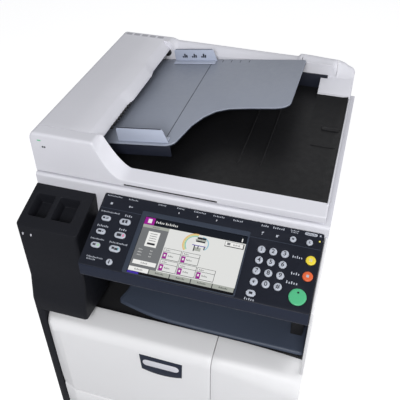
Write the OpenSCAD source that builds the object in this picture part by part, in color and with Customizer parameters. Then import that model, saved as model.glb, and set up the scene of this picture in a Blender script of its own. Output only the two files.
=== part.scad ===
// Office photocopier: document feeder, flatbed scanner, tilted control panel and two paper drawers.
// Frame: origin on the floor at the centre of the footprint, +Z up, front towards -Y, right side +X.

/* [Body] */
// Width of the machine
body_w = 600; // [594:2:612]
// Depth from the panel's front edge to the rear of the feeder
body_d = 646; // [640:2:652]
// Height of the rubber feet
foot_h = 20; // [16:1:20]
// Wall of the moulded covers
wall = 3; // [2:0.5:3]
// Sheet steel of the frame
sheet = 3; // [2:0.5:3]

/* [Drawers and front] */
// Height of a drawer front
drawer_h = 78; // [74:1:78]
// Gap between neighbouring fronts
gap = 2; // [1.5:0.5:2]
// Seam between the hinged front cover and the fixed one, from the centre
seam_x = 111; // [90:1:120]

/* [Scanner] */
// Height of the scanner's top face
scanner_top = 780; // [780:1:790]
// Height of the scanner housing
scanner_h = 82; // [82:1:84]
// Size of the platen glass, left to right
glass_w = 432; // [425:1:432]
// Size of the platen glass, front to back
glass_d = 300; // [297:1:304]

/* [Control panel] */
// Width of the panel
panel_w = 436; // [436:1:437]
// Tilt of the panel face
panel_tilt = 20.9; // [19:0.1:22]
// Distance between the digit keys' centres
key_pitch = 21.6; // [20:0.1:22]
// Radius of a digit key
key_r = 7.1; // [6:0.1:7.5]
// Key cap's stand above the panel
key_proud = 1.8; // [1.5:0.1:2.5]

/* [Document feeder] */
// Height of the feed unit above the scanner
hump_h = 96; // [92:1:100]
// Height of the feeder's front rim above the scanner
rim_h = 28; // [26:1:30]
// Slope of the document table
table_tilt = 7.5; // [6:0.5:8]
// Radius of the feed roller
feed_r = 12; // [10:1:13]

/* [Print engine] */
// Radius of the photoconductor drum
drum_r = 15; // [12:1:20]
// Radius of the fuser's heat roller
heat_r = 17; // [14:1:17]
// Radius of the fuser's press roller
press_r = 18; // [14:1:18]
// Radius of the toner container
toner_r = 44; // [38:1:46]

/* [Hidden] */
$fn = 64;

hw = body_w / 2;
hd = body_d / 2;
run = 0.05;                     // radial clearance of a shaft in its bore
front_y = -hd + 23;             // foremost face of the front covers
plate_x = hw - 33;              // inner face of the frame's side plates
plate_out = plate_x + sheet;
frame_rear = hd - 11;
pan_top = foot_h + 4;
drawer_z = [foot_h + 12, foot_h + 12 + drawer_h + gap];
shelf_z = drawer_z[1] + drawer_h + gap;
cover_z = shelf_z + 2.5;        // lower edge of the front covers
deck_z = 452;
tray_z = deck_z + sheet;
scan_z = scanner_top - scanner_h;
scan_front = -hd + 148;
ledge_z = 468;                  // rear edge of the front covers' ledge
ledge_y = -235;
unit_z = ledge_z + 7;           // underside of the side unit
column_x = hw - 19;             // inner face of the left column
bracket_y = -232;               // front plate of the engine frame
fuser_y = -112;                 // front bracket of the fuser
shaft_r = 5;
knuckle_r = 4.2;                // hinge knuckles of the front cover
drum_at = [150, 330];
heat_at = [205, 590];
press_at = [heat_at[0] + heat_r + press_r + 0.2, heat_at[1]];
toner_at = [-60, 330];
hinge_xs = [-240, 60];          // front cover's hinges
cover_pin = [front_y + 10, cover_z + 6.5];
door_pin = [hw - 10, 250];
door_lo = shelf_z + 5;
door_hi = door_lo + 366;
bypass_pin = [hw - 6, door_lo + 41];
glass_x = -150;
glass_y = -75;
slit = [-215, -195];
rod_at = [262, scanner_top - 28];
rail_z = scanner_top - 35;
feed_x = -hw + 2;               // left face of the feeder
feed_right = hw - 10;
feed_front = scan_front + 5;
feed_z = scanner_top + 3;
hump_z = scanner_top + hump_h;
rim_z = scanner_top + rim_h;
cheek = 30;                     // depth of the feeder's hollow front wall
ridge_y = hd - 23;
cover_axis = [-hw + 10, scanner_top + 28];
table_axis = [-196, scanner_top + 42];
roller_at = [-220, scanner_top + 58];
feeder_pin = [hd - 7, scanner_top + 12];
feeder_hinge_x = 190;
panel_x = -143.4;
panel_y = scan_front - 2;
panel_z = scanner_top - 15;
panel_len = (hd + panel_y) / cos(panel_tilt);
face_t = 3;                     // panel cover's thickness
panel_t = 34;
screen = [97, 34, 203, 119];    // window: left, down the slope, width, height
digits_at = [330, 54.9];

// Box between two corners
module span(lo, hi) { translate(lo) cube(hi - lo); }
// Outline in Y and Z, extruded from x0 to x1
module along_x(x0, x1) { translate([x0, 0, 0]) rotate([90, 0, 90]) linear_extrude(x1 - x0) children(); }
// Outline in X and Z, extruded from y0 to y1
module along_y(y0, y1) { translate([0, y1, 0]) rotate([90, 0, 0]) linear_extrude(y1 - y0) children(); }
// Round bar along X at [y, z]
module rod_x(at, r, x0, x1)
    translate([x0, at[0], at[1]]) rotate([0, 90, 0]) cylinder(h = x1 - x0, r = r);
// Round bar along Y at [x, z]
module rod_y(at, r, y0, y1)
    translate([at[0], y0, at[1]]) rotate([-90, 0, 0]) cylinder(h = y1 - y0, r = r);
// Points of an arc about c, from angle a0 to a1
function arc(c, r, a0, a1, n = 6) =
    [for (i = [0 : n]) c + r * [cos(a0 + (a1 - a0) * i / n), sin(a0 + (a1 - a0) * i / n)]];

// ---- Frame and covers ----

module side_plate_outline() {
    polygon([[-250, pan_top], [frame_rear, pan_top], [frame_rear, scan_z], [scan_front + 5, scan_z],
        [scan_front + 5, tray_z], [-250, tray_z]]);
}

module base_frame() color("silver") {
    difference() {
        union() {
            span([-plate_out - 8, -262, foot_h], [plate_out + 8, frame_rear, pan_top]);
            along_x(-plate_out, -plate_x) side_plate_outline();
            along_x(plate_x, plate_out) side_plate_outline();
            span([-plate_x, frame_rear - sheet, pan_top], [plate_x, frame_rear, scan_z]);
            span([-plate_x, -250, shelf_z], [plate_x, frame_rear, shelf_z + sheet]);
            span([-plate_x, bracket_y, shelf_z], [plate_x, bracket_y + sheet, deck_z]);
            span([-plate_x, bracket_y, deck_z], [plate_x, frame_rear, tray_z]);
            span([-plate_x, scan_front + 5, scan_z - 3], [plate_x, scan_front + 25, scan_z]);
            span([182, fuser_y, deck_z], [plate_x, fuser_y + sheet, 640]);
            for (s = [-1, 1], z = drawer_z)
                translate([s * (plate_x - 13), 0, z + 2]) span([-13, -240, 0], [13, 150, 3.5]);
            for (x = hinge_xs) {
                span([x - 3, cover_pin[0], cover_pin[1] - knuckle_r],
                    [x + 3, bracket_y, cover_pin[1] + knuckle_r]);
                rod_x(cover_pin, knuckle_r, x - 3, x + 3);
                rod_x(cover_pin, 3, x - 14, x + 14);
            }
            for (z = [door_lo - 7, door_hi + 2])
                span([plate_x, 240, z], [hw - 3, 260, z + 5]);
            for (z = [door_lo - 2, door_hi - 16])
                translate([door_pin[0], door_pin[1], z]) cylinder(h = 18, r = 4);
        }
        span([plate_x - 1, -50, shelf_z + 13], [plate_out + 1, 238, door_hi - 8]);
        span([178, -105, deck_z - 1], [plate_x - 5, 250, tray_z + 1]);
        rod_y(drum_at, shaft_r + run, bracket_y - 1, frame_rear + 1);
        rod_y(heat_at, shaft_r + run, fuser_y - 1, frame_rear + 1);
        rod_y(press_at, shaft_r + run, fuser_y - 1, frame_rear + 1);
        rod_y(toner_at, toner_r + 0.5, bracket_y - 1, bracket_y + sheet + 1);
    }
}

module rubber_feet() color([0.08, 0.08, 0.08])
    for (x = [-230, 230], y = [-220, 260]) translate([x, y, 0]) cylinder(h = foot_h, r = 18);

module rear_cover() color([0.9, 0.9, 0.91]) difference() {
    span([-hw + 3, frame_rear, 30], [hw - 3, hd - 3, scan_z - 2]);
    span([-hw + 6, frame_rear - 1, 33], [hw - 6, hd - 6, scan_z - 5]);
    for (i = [0 : 9]) span([-220, hd - 7, 470 + 14 * i], [-60, hd - 2, 475 + 14 * i]);
    for (i = [0 : 5]) span([80, hd - 7, 120 + 14 * i], [220, hd - 2, 125 + 14 * i]);
    span([-210, hd - 7, 70], [-170, hd - 2, 100]);
}

module left_cover() color([0.9, 0.9, 0.91]) difference() {
    along_x(-hw, -hw + wall) polygon([[-249.5, 30], [hd - 3, 30], [hd - 3, scan_z - 1],
        [scan_front + 0.5, scan_z - 1], [scan_front + 0.5, unit_z - 1], [-249.5, unit_z - 1]]);
    for (i = [0 : 7]) span([-hw - 1, 60, 360 + 14 * i], [-hw + wall + 1, 200, 365 + 14 * i]);
}

module right_cover() color([0.9, 0.9, 0.91]) {
    difference() {
        along_x(hw - wall, hw) polygon([[-268, 30], [hd - 3, 30], [hd - 3, scan_z - 1],
            [scan_front + 0.2, scan_z - 1], [scan_front + 0.2, unit_z - 1], [ledge_y + 2, unit_z - 1],
            [ledge_y + 2, tray_z], [-268, tray_z]]);
        span([hw - wall - 1, -60, door_lo - 2], [hw + 1, 262, door_hi + 2]);
    }
    along_x(hw - 6, hw) polygon([[scan_front - 0.2, unit_z - 2], [-290, unit_z - 2], [-316, 690],
        [-316, 704], [scan_front - 0.2, panel_z - 8]]);
    span([hw - 15, -290, unit_z - 2], [hw - 5, -250, 674]);
}

// Black unit beside the panel, with two clip trays, standing on the left corner column
module side_unit() color([0.12, 0.12, 0.14]) {
    slope = atan(30 / 102);
    difference() {
        union() {
            difference() {
                along_x(-hw, -167) polygon([[scan_front - 0.2, scan_z + 57], [-277, scan_z + 27],
                    [-277, unit_z + 12], [-265, unit_z], [scan_front - 0.2, unit_z]]);
                along_x(-hw + wall, -167 - wall) polygon([[scan_front + 1, scan_z + 54],
                    [-274, scan_z + 23.9], [-274, unit_z + 13], [-264, unit_z + 3],
                    [scan_front + 1, unit_z + 3]]);
            }
            translate([0, scan_front - 0.2, scan_z + 57]) rotate([slope, 0, 0])
                span([-289, -79, -31], [-189, -17, -1]);
            span([-hw, -277, 30], [-column_x, -250, unit_z + 13]);
        }
        translate([0, scan_front - 0.2, scan_z + 57]) rotate([slope, 0, 0])
            for (x = [-286, -232]) span([x, -76, -28], [x + 40, -20, 2]);
    }
}

// Hollow shell of a front cover, open at the back
module front_shell(x0, x1) difference() {
    along_x(x0, x1) polygon([[-276, cover_z], [front_y + 3, cover_z], [front_y, cover_z + 35],
        [front_y, ledge_z - 32], [front_y + 4, ledge_z - 18], [front_y + 12, ledge_z - 10.5],
        [ledge_y, ledge_z], [ledge_y, ledge_z - 3.5], [-276, ledge_z - 11.5]]);
    along_x(x0 + wall, x1 - wall) polygon([[-270, cover_z + 3.5], [front_y + 5.8, cover_z + 3.5],
        [front_y + 3, cover_z + 36], [front_y + 3, ledge_z - 33], [front_y + 6.5, ledge_z - 20.5],
        [front_y + 13, ledge_z - 14.4], [-276, ledge_z - 12], [-270, ledge_z - 12]]);
}

module right_front_cover() color([0.93, 0.93, 0.93]) front_shell(seam_x + 1, hw);

module front_cover() color([0.93, 0.93, 0.93]) difference() {
    union() {
        front_shell(-column_x + gap, seam_x - 0.5);
        for (x = hinge_xs, s = [-1, 1]) translate([x + 9 * s, 0, 0])
            span([-4, front_y + 3.2, cover_z], [4, front_y + 17, cover_z + 13.5]);
    }
    for (x = hinge_xs) {
        span([x - 4.5, front_y + 4, cover_z - 1], [x + 4.5, -275, cover_z + 4]);
        rod_x(cover_pin, 3 + run, x - 16, x + 16);
    }
}

// Moulded floor and walls of the output bay, with the fuser's housing at its right
module exit_tray() color([0.2, 0.22, 0.28]) difference() {
    union() {
        along_y(ledge_y + 1.5, scan_front + 3) polygon([[-hw + 4, tray_z], [hw - 16, tray_z],
            [hw - 16, tray_z + 28], [60, tray_z + 36], [-100, tray_z + 16], [-hw + 4, tray_z + 12]]);
        along_y(scan_front + 3, frame_rear - 10) polygon([[-plate_x + 3, tray_z], [172, tray_z],
            [172, tray_z + 30], [60, tray_z + 34], [-120, tray_z + 16], [-plate_x + 3, tray_z + 10]]);
        span([172, scan_front + 2, tray_z], [plate_x - 3, -131, tray_z + 28]);
        span([172, -133, tray_z], [175, frame_rear - 10, scan_z - 4]);
        span([172, -133, tray_z], [plate_x - 3, -130, scan_z - 4]);
        span([-plate_x + 3, frame_rear - 13, tray_z], [175, frame_rear - 10, scan_z - 4]);
        span([-plate_x + 0.5, scan_front + 6, tray_z], [-plate_x + 3.5, frame_rear - 10, scan_z - 4]);
    }
    span([171, -60, 584], [176, 240, 600]);
}

// ---- Scanner ----

module scanner_housing() color([0.86, 0.86, 0.88]) {
    top = scanner_top;
    difference() {
        union() {
            difference() {
                span([-hw, scan_front, scan_z], [hw, hd, top]);
                span([-hw + 4, scan_front + 4, scan_z + 3], [hw - 4, hd - 4, top - 4]);
            }
            span([glass_x - 8, glass_y - 8, top - 8],
                [glass_x + glass_w + 8, glass_y + glass_d + 8, top - 3]);
            span([slit[0] - 6, glass_y - 8, top - 8], [slit[1] + 6, glass_y + glass_d + 8, top - 3]);
            span([-hw + 3, -140, rail_z], [hw - 3, -132, rail_z + 6]);
        }
        span([glass_x, glass_y, top - 4], [glass_x + glass_w, glass_y + glass_d, top + 1]);
        span([glass_x + 6, glass_y + 6, top - 9], [glass_x + glass_w - 6, glass_y + glass_d - 6, top]);
        span([slit[0], glass_y, top - 4], [slit[1], glass_y + glass_d, top + 1]);
        span([slit[0] + 4, glass_y + 4, top - 9], [slit[1] - 4, glass_y + glass_d - 4, top]);
    }
}

module platen_glass() color([0.6, 0.75, 0.78, 0.5]) {
    c = 0.2;
    span([glass_x + c, glass_y + c, scanner_top - 4],
        [glass_x + glass_w - c, glass_y + glass_d - c, scanner_top]);
    span([slit[0] + c, glass_y + c, scanner_top - 4], [slit[1] - c, glass_y + glass_d - c, scanner_top]);
}

module scan_rod() color("silver") rod_x(rod_at, 4, -hw + 4, hw - 4);

module lamp_carriage() color([0.25, 0.25, 0.27]) difference() {
    union() {
        span([-222, -141, rod_at[1]], [-192, 250, rod_at[1] + 16]);
        span([-222, 249, rod_at[1] - 8], [-192, 274, rod_at[1] + 10]);
    }
    rod_x(rod_at, 4 + run, -223, -191);
    span([-211, -70, rod_at[1] + 4], [-203, 220, rod_at[1] + 17]);
}

module mirror_carriage() color([0.3, 0.3, 0.32]) difference() {
    union() {
        span([-262, -141, scan_z + 10], [-232, 241, scan_z + 44]);
        span([-262, 240, scan_z + 10], [-232, 274, rod_at[1] + 10]);
    }
    rod_x(rod_at, 4 + run, -263, -231);
    span([-258, -135, scan_z + 14], [-231, 235, scan_z + 40]);
}

// ---- Control panel ----

// Puts children on the panel's face: x from its left end, y from its top edge, z out of the face
module on_panel() { translate([panel_x, panel_y, panel_z]) rotate([panel_tilt, 0, 0]) children(); }

module panel_base() color([0.17, 0.18, 0.23]) intersection() {
    on_panel() difference() {
        span([0, -panel_len, -panel_t], [panel_w, 0, -face_t]);
        span([wall, -panel_len + wall, -panel_t + wall], [panel_w - wall, -14, 0]);
    }
    span([-hw, -hd - 1, scan_z - 80], [hw, scan_front - 0.2, scanner_top]);
}

// A pill-shaped or round key, or the hole for one
module pill(w, h, z0, z1) {
    for (s = [-1, 1]) translate([s * (w - h) / 2, 0, z0]) cylinder(h = z1 - z0, r = h / 2);
    if (w > h) span([-(w - h) / 2, -h / 2, z0], [(w - h) / 2, h / 2, z1]);
}

// Each key: place along and down the panel, width, height
function digit(i) = [digits_at[0] + key_pitch * (i % 3), digits_at[1] + key_pitch * floor(i / 3),
    2 * key_r, 2 * key_r];
clear_key = [329.5, 141.9, 17, 12];
reset_key = [420.6, 57.4, 17.8, 17.8];
stop_key = [420.5, 88.8, 18.4, 18.4];
start_key = [410.3, 130.4, 31, 31];
energy_key = [381.8, 22.5, 11.6, 11.6];
power_key = [412.2, 22.7, 11.6, 11.6];
status_key = [21.2, 55.8, 19, 11];
copy_key = [61, 55.8, 22.5, 12.5];
program_key = [20.8, 85.2, 19, 11];
send_key = [60.7, 85.2, 22.5, 12.5];
application_key = [20.6, 114.4, 19, 11];
document_box_key = [60.2, 114.4, 22.5, 12.5];
accessibility_key = [59.1, 142.4, 12.4, 12.4];

module key_holes() {
    c = 0.6;
    others = [clear_key, reset_key, stop_key, start_key, energy_key, power_key, status_key, copy_key,
        program_key, send_key, application_key, document_box_key, accessibility_key];
    for (k = concat([for (i = [0 : 11]) digit(i)], others))
        translate([k[0], -k[1], 0]) pill(k[2] + c, k[3] + c, -face_t - 1, 1);
}

module panel_cover() color([0.12, 0.13, 0.16]) on_panel() difference() {
    span([0, -panel_len, -face_t], [panel_w, 0, 0]);
    span([screen[0], -screen[1] - screen[3], -face_t - 1], [screen[0] + screen[2], -screen[1], 1]);
    key_holes();
}

module touch_screen() color([0.75, 0.8, 0.82]) on_panel() {
    c = 0.3;
    span([screen[0] + c, -screen[1] - screen[3] + c, -face_t - 1],
        [screen[0] + screen[2] - c, -screen[1] - c, -0.8]);
    span([screen[0] - 3, -screen[1] - screen[3] + 1, -14],
        [screen[0] + screen[2] + 3, -screen[1] + 3, -face_t - 0.1]);
}

// Key cap with the flange that keeps it under the panel cover
module key_cap(k) on_panel() translate([k[0], -k[1], 0]) {
    pill(k[2], k[3], -5, key_proud);
    pill(k[2] + 2.4, k[3] + 2.4, -6.5, -3.5);
}

module key_1() color("lightgrey") key_cap(digit(0));
module key_2() color("lightgrey") key_cap(digit(1));
module key_3() color("lightgrey") key_cap(digit(2));
module key_4() color("lightgrey") key_cap(digit(3));
module key_5() color("lightgrey") key_cap(digit(4));
module key_6() color("lightgrey") key_cap(digit(5));
module key_7() color("lightgrey") key_cap(digit(6));
module key_8() color("lightgrey") key_cap(digit(7));
module key_9() color("lightgrey") key_cap(digit(8));
module key_star() color("lightgrey") key_cap(digit(9));
module key_0() color("lightgrey") key_cap(digit(10));
module key_hash() color("lightgrey") key_cap(digit(11));
module key_clear() color("lightgrey") key_cap(clear_key);
module key_reset() color([0.9, 0.8, 0.25]) key_cap(reset_key);
module key_stop() color([0.85, 0.4, 0.2]) key_cap(stop_key);
module key_start() color([0.25, 0.65, 0.45]) key_cap(start_key);
module key_energy() color("lightgrey") key_cap(energy_key);
module key_power() color("lightgrey") key_cap(power_key);
module key_status() color("lightgrey") key_cap(status_key);
module key_copy() color("lightgrey") key_cap(copy_key);
module key_program() color("lightgrey") key_cap(program_key);
module key_send() color("lightgrey") key_cap(send_key);
module key_application() color("lightgrey") key_cap(application_key);
module key_document_box() color("lightgrey") key_cap(document_box_key);
module key_accessibility() color("lightgrey") key_cap(accessibility_key);

// ---- Print engine, drawers and side door ----

module toner_container() color([0.2, 0.2, 0.22]) {
    rod_y(toner_at, toner_r, -262, 180);
    span([toner_at[0] - 25, -268, toner_at[1] - 6], [toner_at[0] + 25, -261, toner_at[1] + 6]);
}

// Roller on a shaft along Y
module roller(at, r, y0, y1, s0, s1) {
    rod_y(at, r, y0, y1);
    rod_y(at, shaft_r, s0, s1);
}

module drum() color([0.2, 0.5, 0.4]) roller(drum_at, drum_r, -200, 280, bracket_y - 4, frame_rear + 1);
module heat_roller() color([0.5, 0.3, 0.2]) roller(heat_at, heat_r, -100, 285, fuser_y - 3, frame_rear + 1);
module press_roller() color([0.7, 0.4, 0.3])
    roller(press_at, press_r, -100, 285, fuser_y - 3, frame_rear + 1);

module laser_unit() color([0.15, 0.15, 0.16]) {
    span([-200, -150, deck_z - 60], [90, 200, deck_z - 14]);
    for (x = [-190, 60], y = [-140, 170]) span([x, y, deck_z - 15], [x + 20, y + 20, deck_z]);
}

module cassette(z) {
    difference() {
        span([-column_x + gap, front_y + 2, z], [hw, -276, z + drawer_h]);
        span([-90, front_y + 1, z - 1], [110, -284, z + 26]);
    }
    difference() {
        span([-plate_x + 12, -277, z + 6], [plate_x - 12, 200, z + 66]);
        span([-plate_x + 15, -274, z + 9], [plate_x - 15, 197, z + 67]);
    }
}

module cassette_upper() color([0.93, 0.93, 0.93]) cassette(drawer_z[1]);
module cassette_lower() color([0.93, 0.93, 0.93]) cassette(drawer_z[0]);

module side_door() color([0.9, 0.9, 0.91]) difference() {
    union() {
        difference() {
            span([hw - 24, -58, door_lo], [hw, 258, door_hi]);
            span([hw - 25, -55, door_lo + 3], [hw - 3, 255, door_hi - 3]);
        }
        span([hw - 15, -25, door_lo + 28], [hw - 1, 215, door_lo + 281]);
        for (z = [door_lo, door_hi - 20]) span([hw - 20, 240, z], [hw, 258, z + 20]);
    }
    span([hw - 12, -22, door_lo + 31], [hw + 1, 212, door_lo + 278]);
    rod_y(bypass_pin, 3 + run, -26, 216);
    for (z = [door_lo - 1, door_hi - 17])
        translate([door_pin[0], door_pin[1], z]) cylinder(h = 18, r = 4 + run);
}

module bypass_tray() color([0.88, 0.88, 0.89]) {
    difference() {
        span([hw - 10, -20, bypass_pin[1] - 4], [hw, 210, door_lo + 276]);
        span([hw - 3, 60, door_lo + 255], [hw + 1, 130, door_lo + 277]);
    }
    rod_y(bypass_pin, 3, -24, 214);
}

// ---- Document feeder ----

// Sweep of a feeder wall from the feed unit's height down to the rim
function sweep_down(x) = concat(arc([x - 8, hump_z - 8], 8, 90, 20, 3),
    arc([x + 56, rim_z + 30], 36, 200, 270, 6));

module feeder_base() color([0.8, 0.8, 0.83]) {
    top_left = arc([feed_x + 12, hump_z - 12], 12, 180, 90, 4);
    rear_top = [[-150, hump_z - 4], [150, hump_z - 7], [160, hump_z], [246, hump_z - 4], [264, hump_z - 10],
        [282, hump_z - 20], [feed_right, hump_z - 30]];
    difference() {
        union() {
            difference() {
                along_y(feed_front, feed_front + cheek) polygon(concat([[feed_x, feed_z]], top_left,
                    sweep_down(-156), [[feed_right, rim_z], [feed_right, feed_z]]));
                along_y(feed_front + wall, feed_front + cheek - wall) polygon([[feed_x + 3, feed_z - 1],
                    [feed_x + 3, hump_z - 12], [feed_x + 11, hump_z - 4], [-168, hump_z - 4],
                    [-146, rim_z + 16],
                    [-112, rim_z - 5], [feed_right - 3, rim_z - 5], [feed_right - 3, feed_z - 1]]);
            }
            difference() {
                along_y(ridge_y, hd) polygon(concat([[feed_x, feed_z]], top_left, [[-164, hump_z]],
                    rear_top, [[feed_right, feed_z]]));
                along_y(ridge_y + wall, hd - wall) polygon([[feed_x + 3, feed_z - 1],
                    [feed_x + 3, hump_z - 12],
                    [feed_x + 11, hump_z - 4], [-168, hump_z - 4], [-150, hump_z - 9], [150, hump_z - 12],
                    [245, hump_z - 11], [278, hump_z - 25], [feed_right - 3, hump_z - 34],
                    [feed_right - 3, feed_z - 1]]);
            }
            for (s = [-1, 1]) translate([s * feeder_hinge_x, 0, 0])
                span([-30, ridge_y, feed_z], [30, hd, feed_z + 23]);
            span([feed_x, feed_front + cheek - 1, feed_z], [feed_x + 3, ridge_y + 1, feed_z + 9]);
            span([feed_right - 3, feed_front + cheek - 1, feed_z], [feed_right, ridge_y + 1, rim_z + 2]);
            span([feed_x + 1, feed_front + 2, feed_z + 3], [feed_right - 1, hd - 2, feed_z + 7]);
            span([246, ridge_y - 62, feed_z + 6], [feed_right - 1, ridge_y + 1, rim_z + 10]);
            for (y = [feed_front + cheek - 3, ridge_y - 12]) rod_y(cover_axis, 4, y, y + 15);
        }
        for (s = [-1, 1]) translate([s * feeder_hinge_x, 0, 0])
            span([-14, ridge_y - 1, feed_z - 1], [14, hd + 1, feed_z + 20]);
        for (s = [-1, 1]) translate([s * feeder_hinge_x, 0, 0]) rod_x(feeder_pin, 4 + run, -31, 31);
        rod_y(table_axis, 4 + run, feed_front + cheek - 4, ridge_y + 4);
        rod_y(roller_at, shaft_r + run, feed_front + cheek - 4, ridge_y + 4);
    }
}

module feeder_hinges() color("dimgrey") for (s = [-1, 1]) translate([s * feeder_hinge_x, 0, 0]) {
    span([-8, feeder_pin[0] - 7, scanner_top], [8, feeder_pin[0] + 7, feeder_pin[1]]);
    rod_x(feeder_pin, 7, -8, 8);
    rod_x(feeder_pin, 4, -22, 22);
}

module eject_tray() color([0.09, 0.09, 0.1]) difference() {
    along_y(feed_front + cheek + 1, ridge_y - 1) polygon([[-160, feed_z + 7], [feed_right - 4, feed_z + 7],
        [feed_right - 4, rim_z - 2], [120, rim_z - 5], [-60, rim_z - 12], [-160, rim_z - 15]]);
    span([245.5, ridge_y - 62.5, feed_z], [feed_right, ridge_y, rim_z]);
}

module platen_mat() color([0.96, 0.96, 0.96])
    span([-175, -110, scanner_top + 0.6], [feed_right - 5, 235, feed_z + 3]);

module feed_cover() color([0.78, 0.78, 0.81]) {
    lip_x = -165;
    low = scanner_top + 16;
    c = [-hw + 20, hump_z - 20];
    y0 = feed_front + cheek + 0.5;
    y1 = ridge_y - 0.5;
    along_y(y0, y1) polygon(concat([[-hw, low]], arc(c, 20, 180, 90),
        [[lip_x, hump_z], [lip_x, hump_z - 21],
        [lip_x - 3, hump_z - 21], [lip_x - 3, hump_z - 3]], arc(c, 17, 90, 180), [[-hw + 3, low]]));
    for (y = [y0, y1 - 10]) difference() {
        union() {
            rod_y(cover_axis, 7, y, y + 10);
            span([-hw + 2, y, cover_axis[1] - 7], [cover_axis[0], y + 10, cover_axis[1] + 7]);
        }
        rod_y(cover_axis, 4 + run, y - 1, y + 11);
    }
}

// Puts children on the document table: x up its slope from the hinge, z out of its face
module on_table() { translate([table_axis[0], 0, table_axis[1]]) rotate([0, -table_tilt, 0]) children(); }

module document_table() color([0.5, 0.53, 0.6]) {
    on_table() {
        translate([0, 0, 2]) linear_extrude(4) polygon([[0, -100], [150, -100], [172, -84], [190, -20],
            [215, 30], [250, 52], [350, 60], [374, 84], [376, 285], [0, 285]]);
        span([8, -100, -22], [165, -97, 3]);
        rotate([-90, 0, 0]) translate([0, 0, -100]) cylinder(h = 385, r = 6);
    }
    rod_y(table_axis, 4, feed_front + cheek - 3, ridge_y + 3);
}

// Upright guide plate with its foot on the table, facing +Y or -Y
module guide(y, side) on_table() {
    translate([0, y + 1.5, 0]) rotate([90, 0, 0]) linear_extrude(3)
        polygon([[54, 6.3], [162, 6.3], [154, 34], [150, 37], [58, 37], [54, 33]]);
    translate([0, y + side * 8, 0]) span([54, -9.5, 6.3], [160, 9.5, 9]);
}

module guide_front() color([0.62, 0.65, 0.72]) guide(-93, 1);
module guide_rear() color([0.62, 0.65, 0.72]) guide(274, -1);

module feed_roller() color([0.15, 0.15, 0.15])
    roller(roller_at, feed_r, 20, 160, feed_front + cheek - 3, ridge_y + 3);

base_frame();
rubber_feet();
rear_cover();
left_cover();
right_cover();
side_unit();
right_front_cover();
exit_tray();
scanner_housing();
platen_glass();
scan_rod();
panel_base();
panel_cover();
touch_screen();
toner_container();
feeder_hinges();
laser_unit();
lamp_carriage();
mirror_carriage();
front_cover();
cassette_upper();
cassette_lower();
side_door();
bypass_tray();
drum();
heat_roller();
press_roller();
feeder_base();
eject_tray();
platen_mat();
feed_cover();
document_table();
guide_front();
guide_rear();
feed_roller();
key_1();
key_2();
key_3();
key_4();
key_5();
key_6();
key_7();
key_8();
key_9();
key_0();
key_star();
key_hash();
key_clear();
key_reset();
key_stop();
key_start();
key_energy();
key_power();
key_status();
key_copy();
key_program();
key_send();
key_application();
key_document_box();
key_accessibility();
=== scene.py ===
import math

import bmesh
import bpy
from mathutils import Matrix, Vector


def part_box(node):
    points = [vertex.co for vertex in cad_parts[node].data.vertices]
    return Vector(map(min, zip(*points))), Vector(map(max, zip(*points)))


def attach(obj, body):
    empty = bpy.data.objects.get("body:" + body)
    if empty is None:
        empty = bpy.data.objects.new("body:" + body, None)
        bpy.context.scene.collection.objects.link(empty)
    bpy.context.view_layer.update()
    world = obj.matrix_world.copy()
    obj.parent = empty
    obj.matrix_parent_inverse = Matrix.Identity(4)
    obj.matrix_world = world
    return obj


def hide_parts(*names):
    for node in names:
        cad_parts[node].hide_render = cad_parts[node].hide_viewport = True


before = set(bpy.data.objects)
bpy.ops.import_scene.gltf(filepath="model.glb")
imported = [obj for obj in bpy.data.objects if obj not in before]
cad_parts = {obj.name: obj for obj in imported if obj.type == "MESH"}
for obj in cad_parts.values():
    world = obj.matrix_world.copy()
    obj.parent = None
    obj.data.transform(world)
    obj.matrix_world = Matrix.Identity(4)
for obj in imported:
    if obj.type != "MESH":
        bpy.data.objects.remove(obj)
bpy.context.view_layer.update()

# -------------------- sizes, in millimetres


def mm_box(node):
    """A CAD node's lowest and highest corners in millimetres."""
    lo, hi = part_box(node)
    return lo * 1000, hi * 1000


body_lo, body_hi = mm_box("scanner_housing")
HALF_W = body_hi.x                       # half the machine's width
SCAN_TOP = body_hi.z
SCAN_FRONT = body_lo.y
REAR = body_hi.y
base_lo, base_hi = mm_box("feeder_base")
FEED_X0, FEED_X1 = base_lo.x, base_hi.x  # feeder's left and right faces
FEED_FRONT, FEED_Z = base_lo.y, base_lo.z
top_lo, top_hi = mm_box("feed_cover")
HUMP_Z = top_hi.z
RIM_OUT, RIM_IN = SCAN_TOP + 20, SCAN_TOP + 29  # heights of the low rim's outer and inner edges
CHEEK = 30                               # front to back size of the feeder's front wall
RIDGE = REAR - 31                        # foot of the feeder's rear ridge
TILT = math.radians(20.9)                # slope of the control panel
TABLE_TILT = math.radians(7.5)           # slope of the document table
FACE_T = 3                               # thickness of the panel's cover
panel_lo, panel_hi = mm_box("panel_cover")
PANEL_ORIGIN = Vector((panel_lo.x, panel_hi.y - FACE_T * math.sin(TILT), panel_hi.z))
U = panel_hi.x - panel_lo.x              # panel's width
V = (PANEL_ORIGIN.y - panel_lo.y) / math.cos(TILT)  # panel's length down its slope

# -------------------- materials


def srgb(r, g, b):
    """0-255 display colour to the linear colour Blender works in."""
    def one(c):
        c /= 255
        return c / 12.92 if c <= 0.04045 else ((c + 0.055) / 1.055) ** 2.4
    return one(r), one(g), one(b), 1.0


def shade(color, gain, offset=0.0):
    return [min(1, c * gain + offset) for c in color[:3]] + [1]


def node_material(name):
    mat = bpy.data.materials.new(name)
    mat.use_nodes = True
    tree = mat.node_tree
    return mat, tree, tree.nodes["Principled BSDF"]


def put(node, values):
    """Sets a node's inputs."""
    for name, value in values.items():
        node.inputs[name].default_value = value


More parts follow.
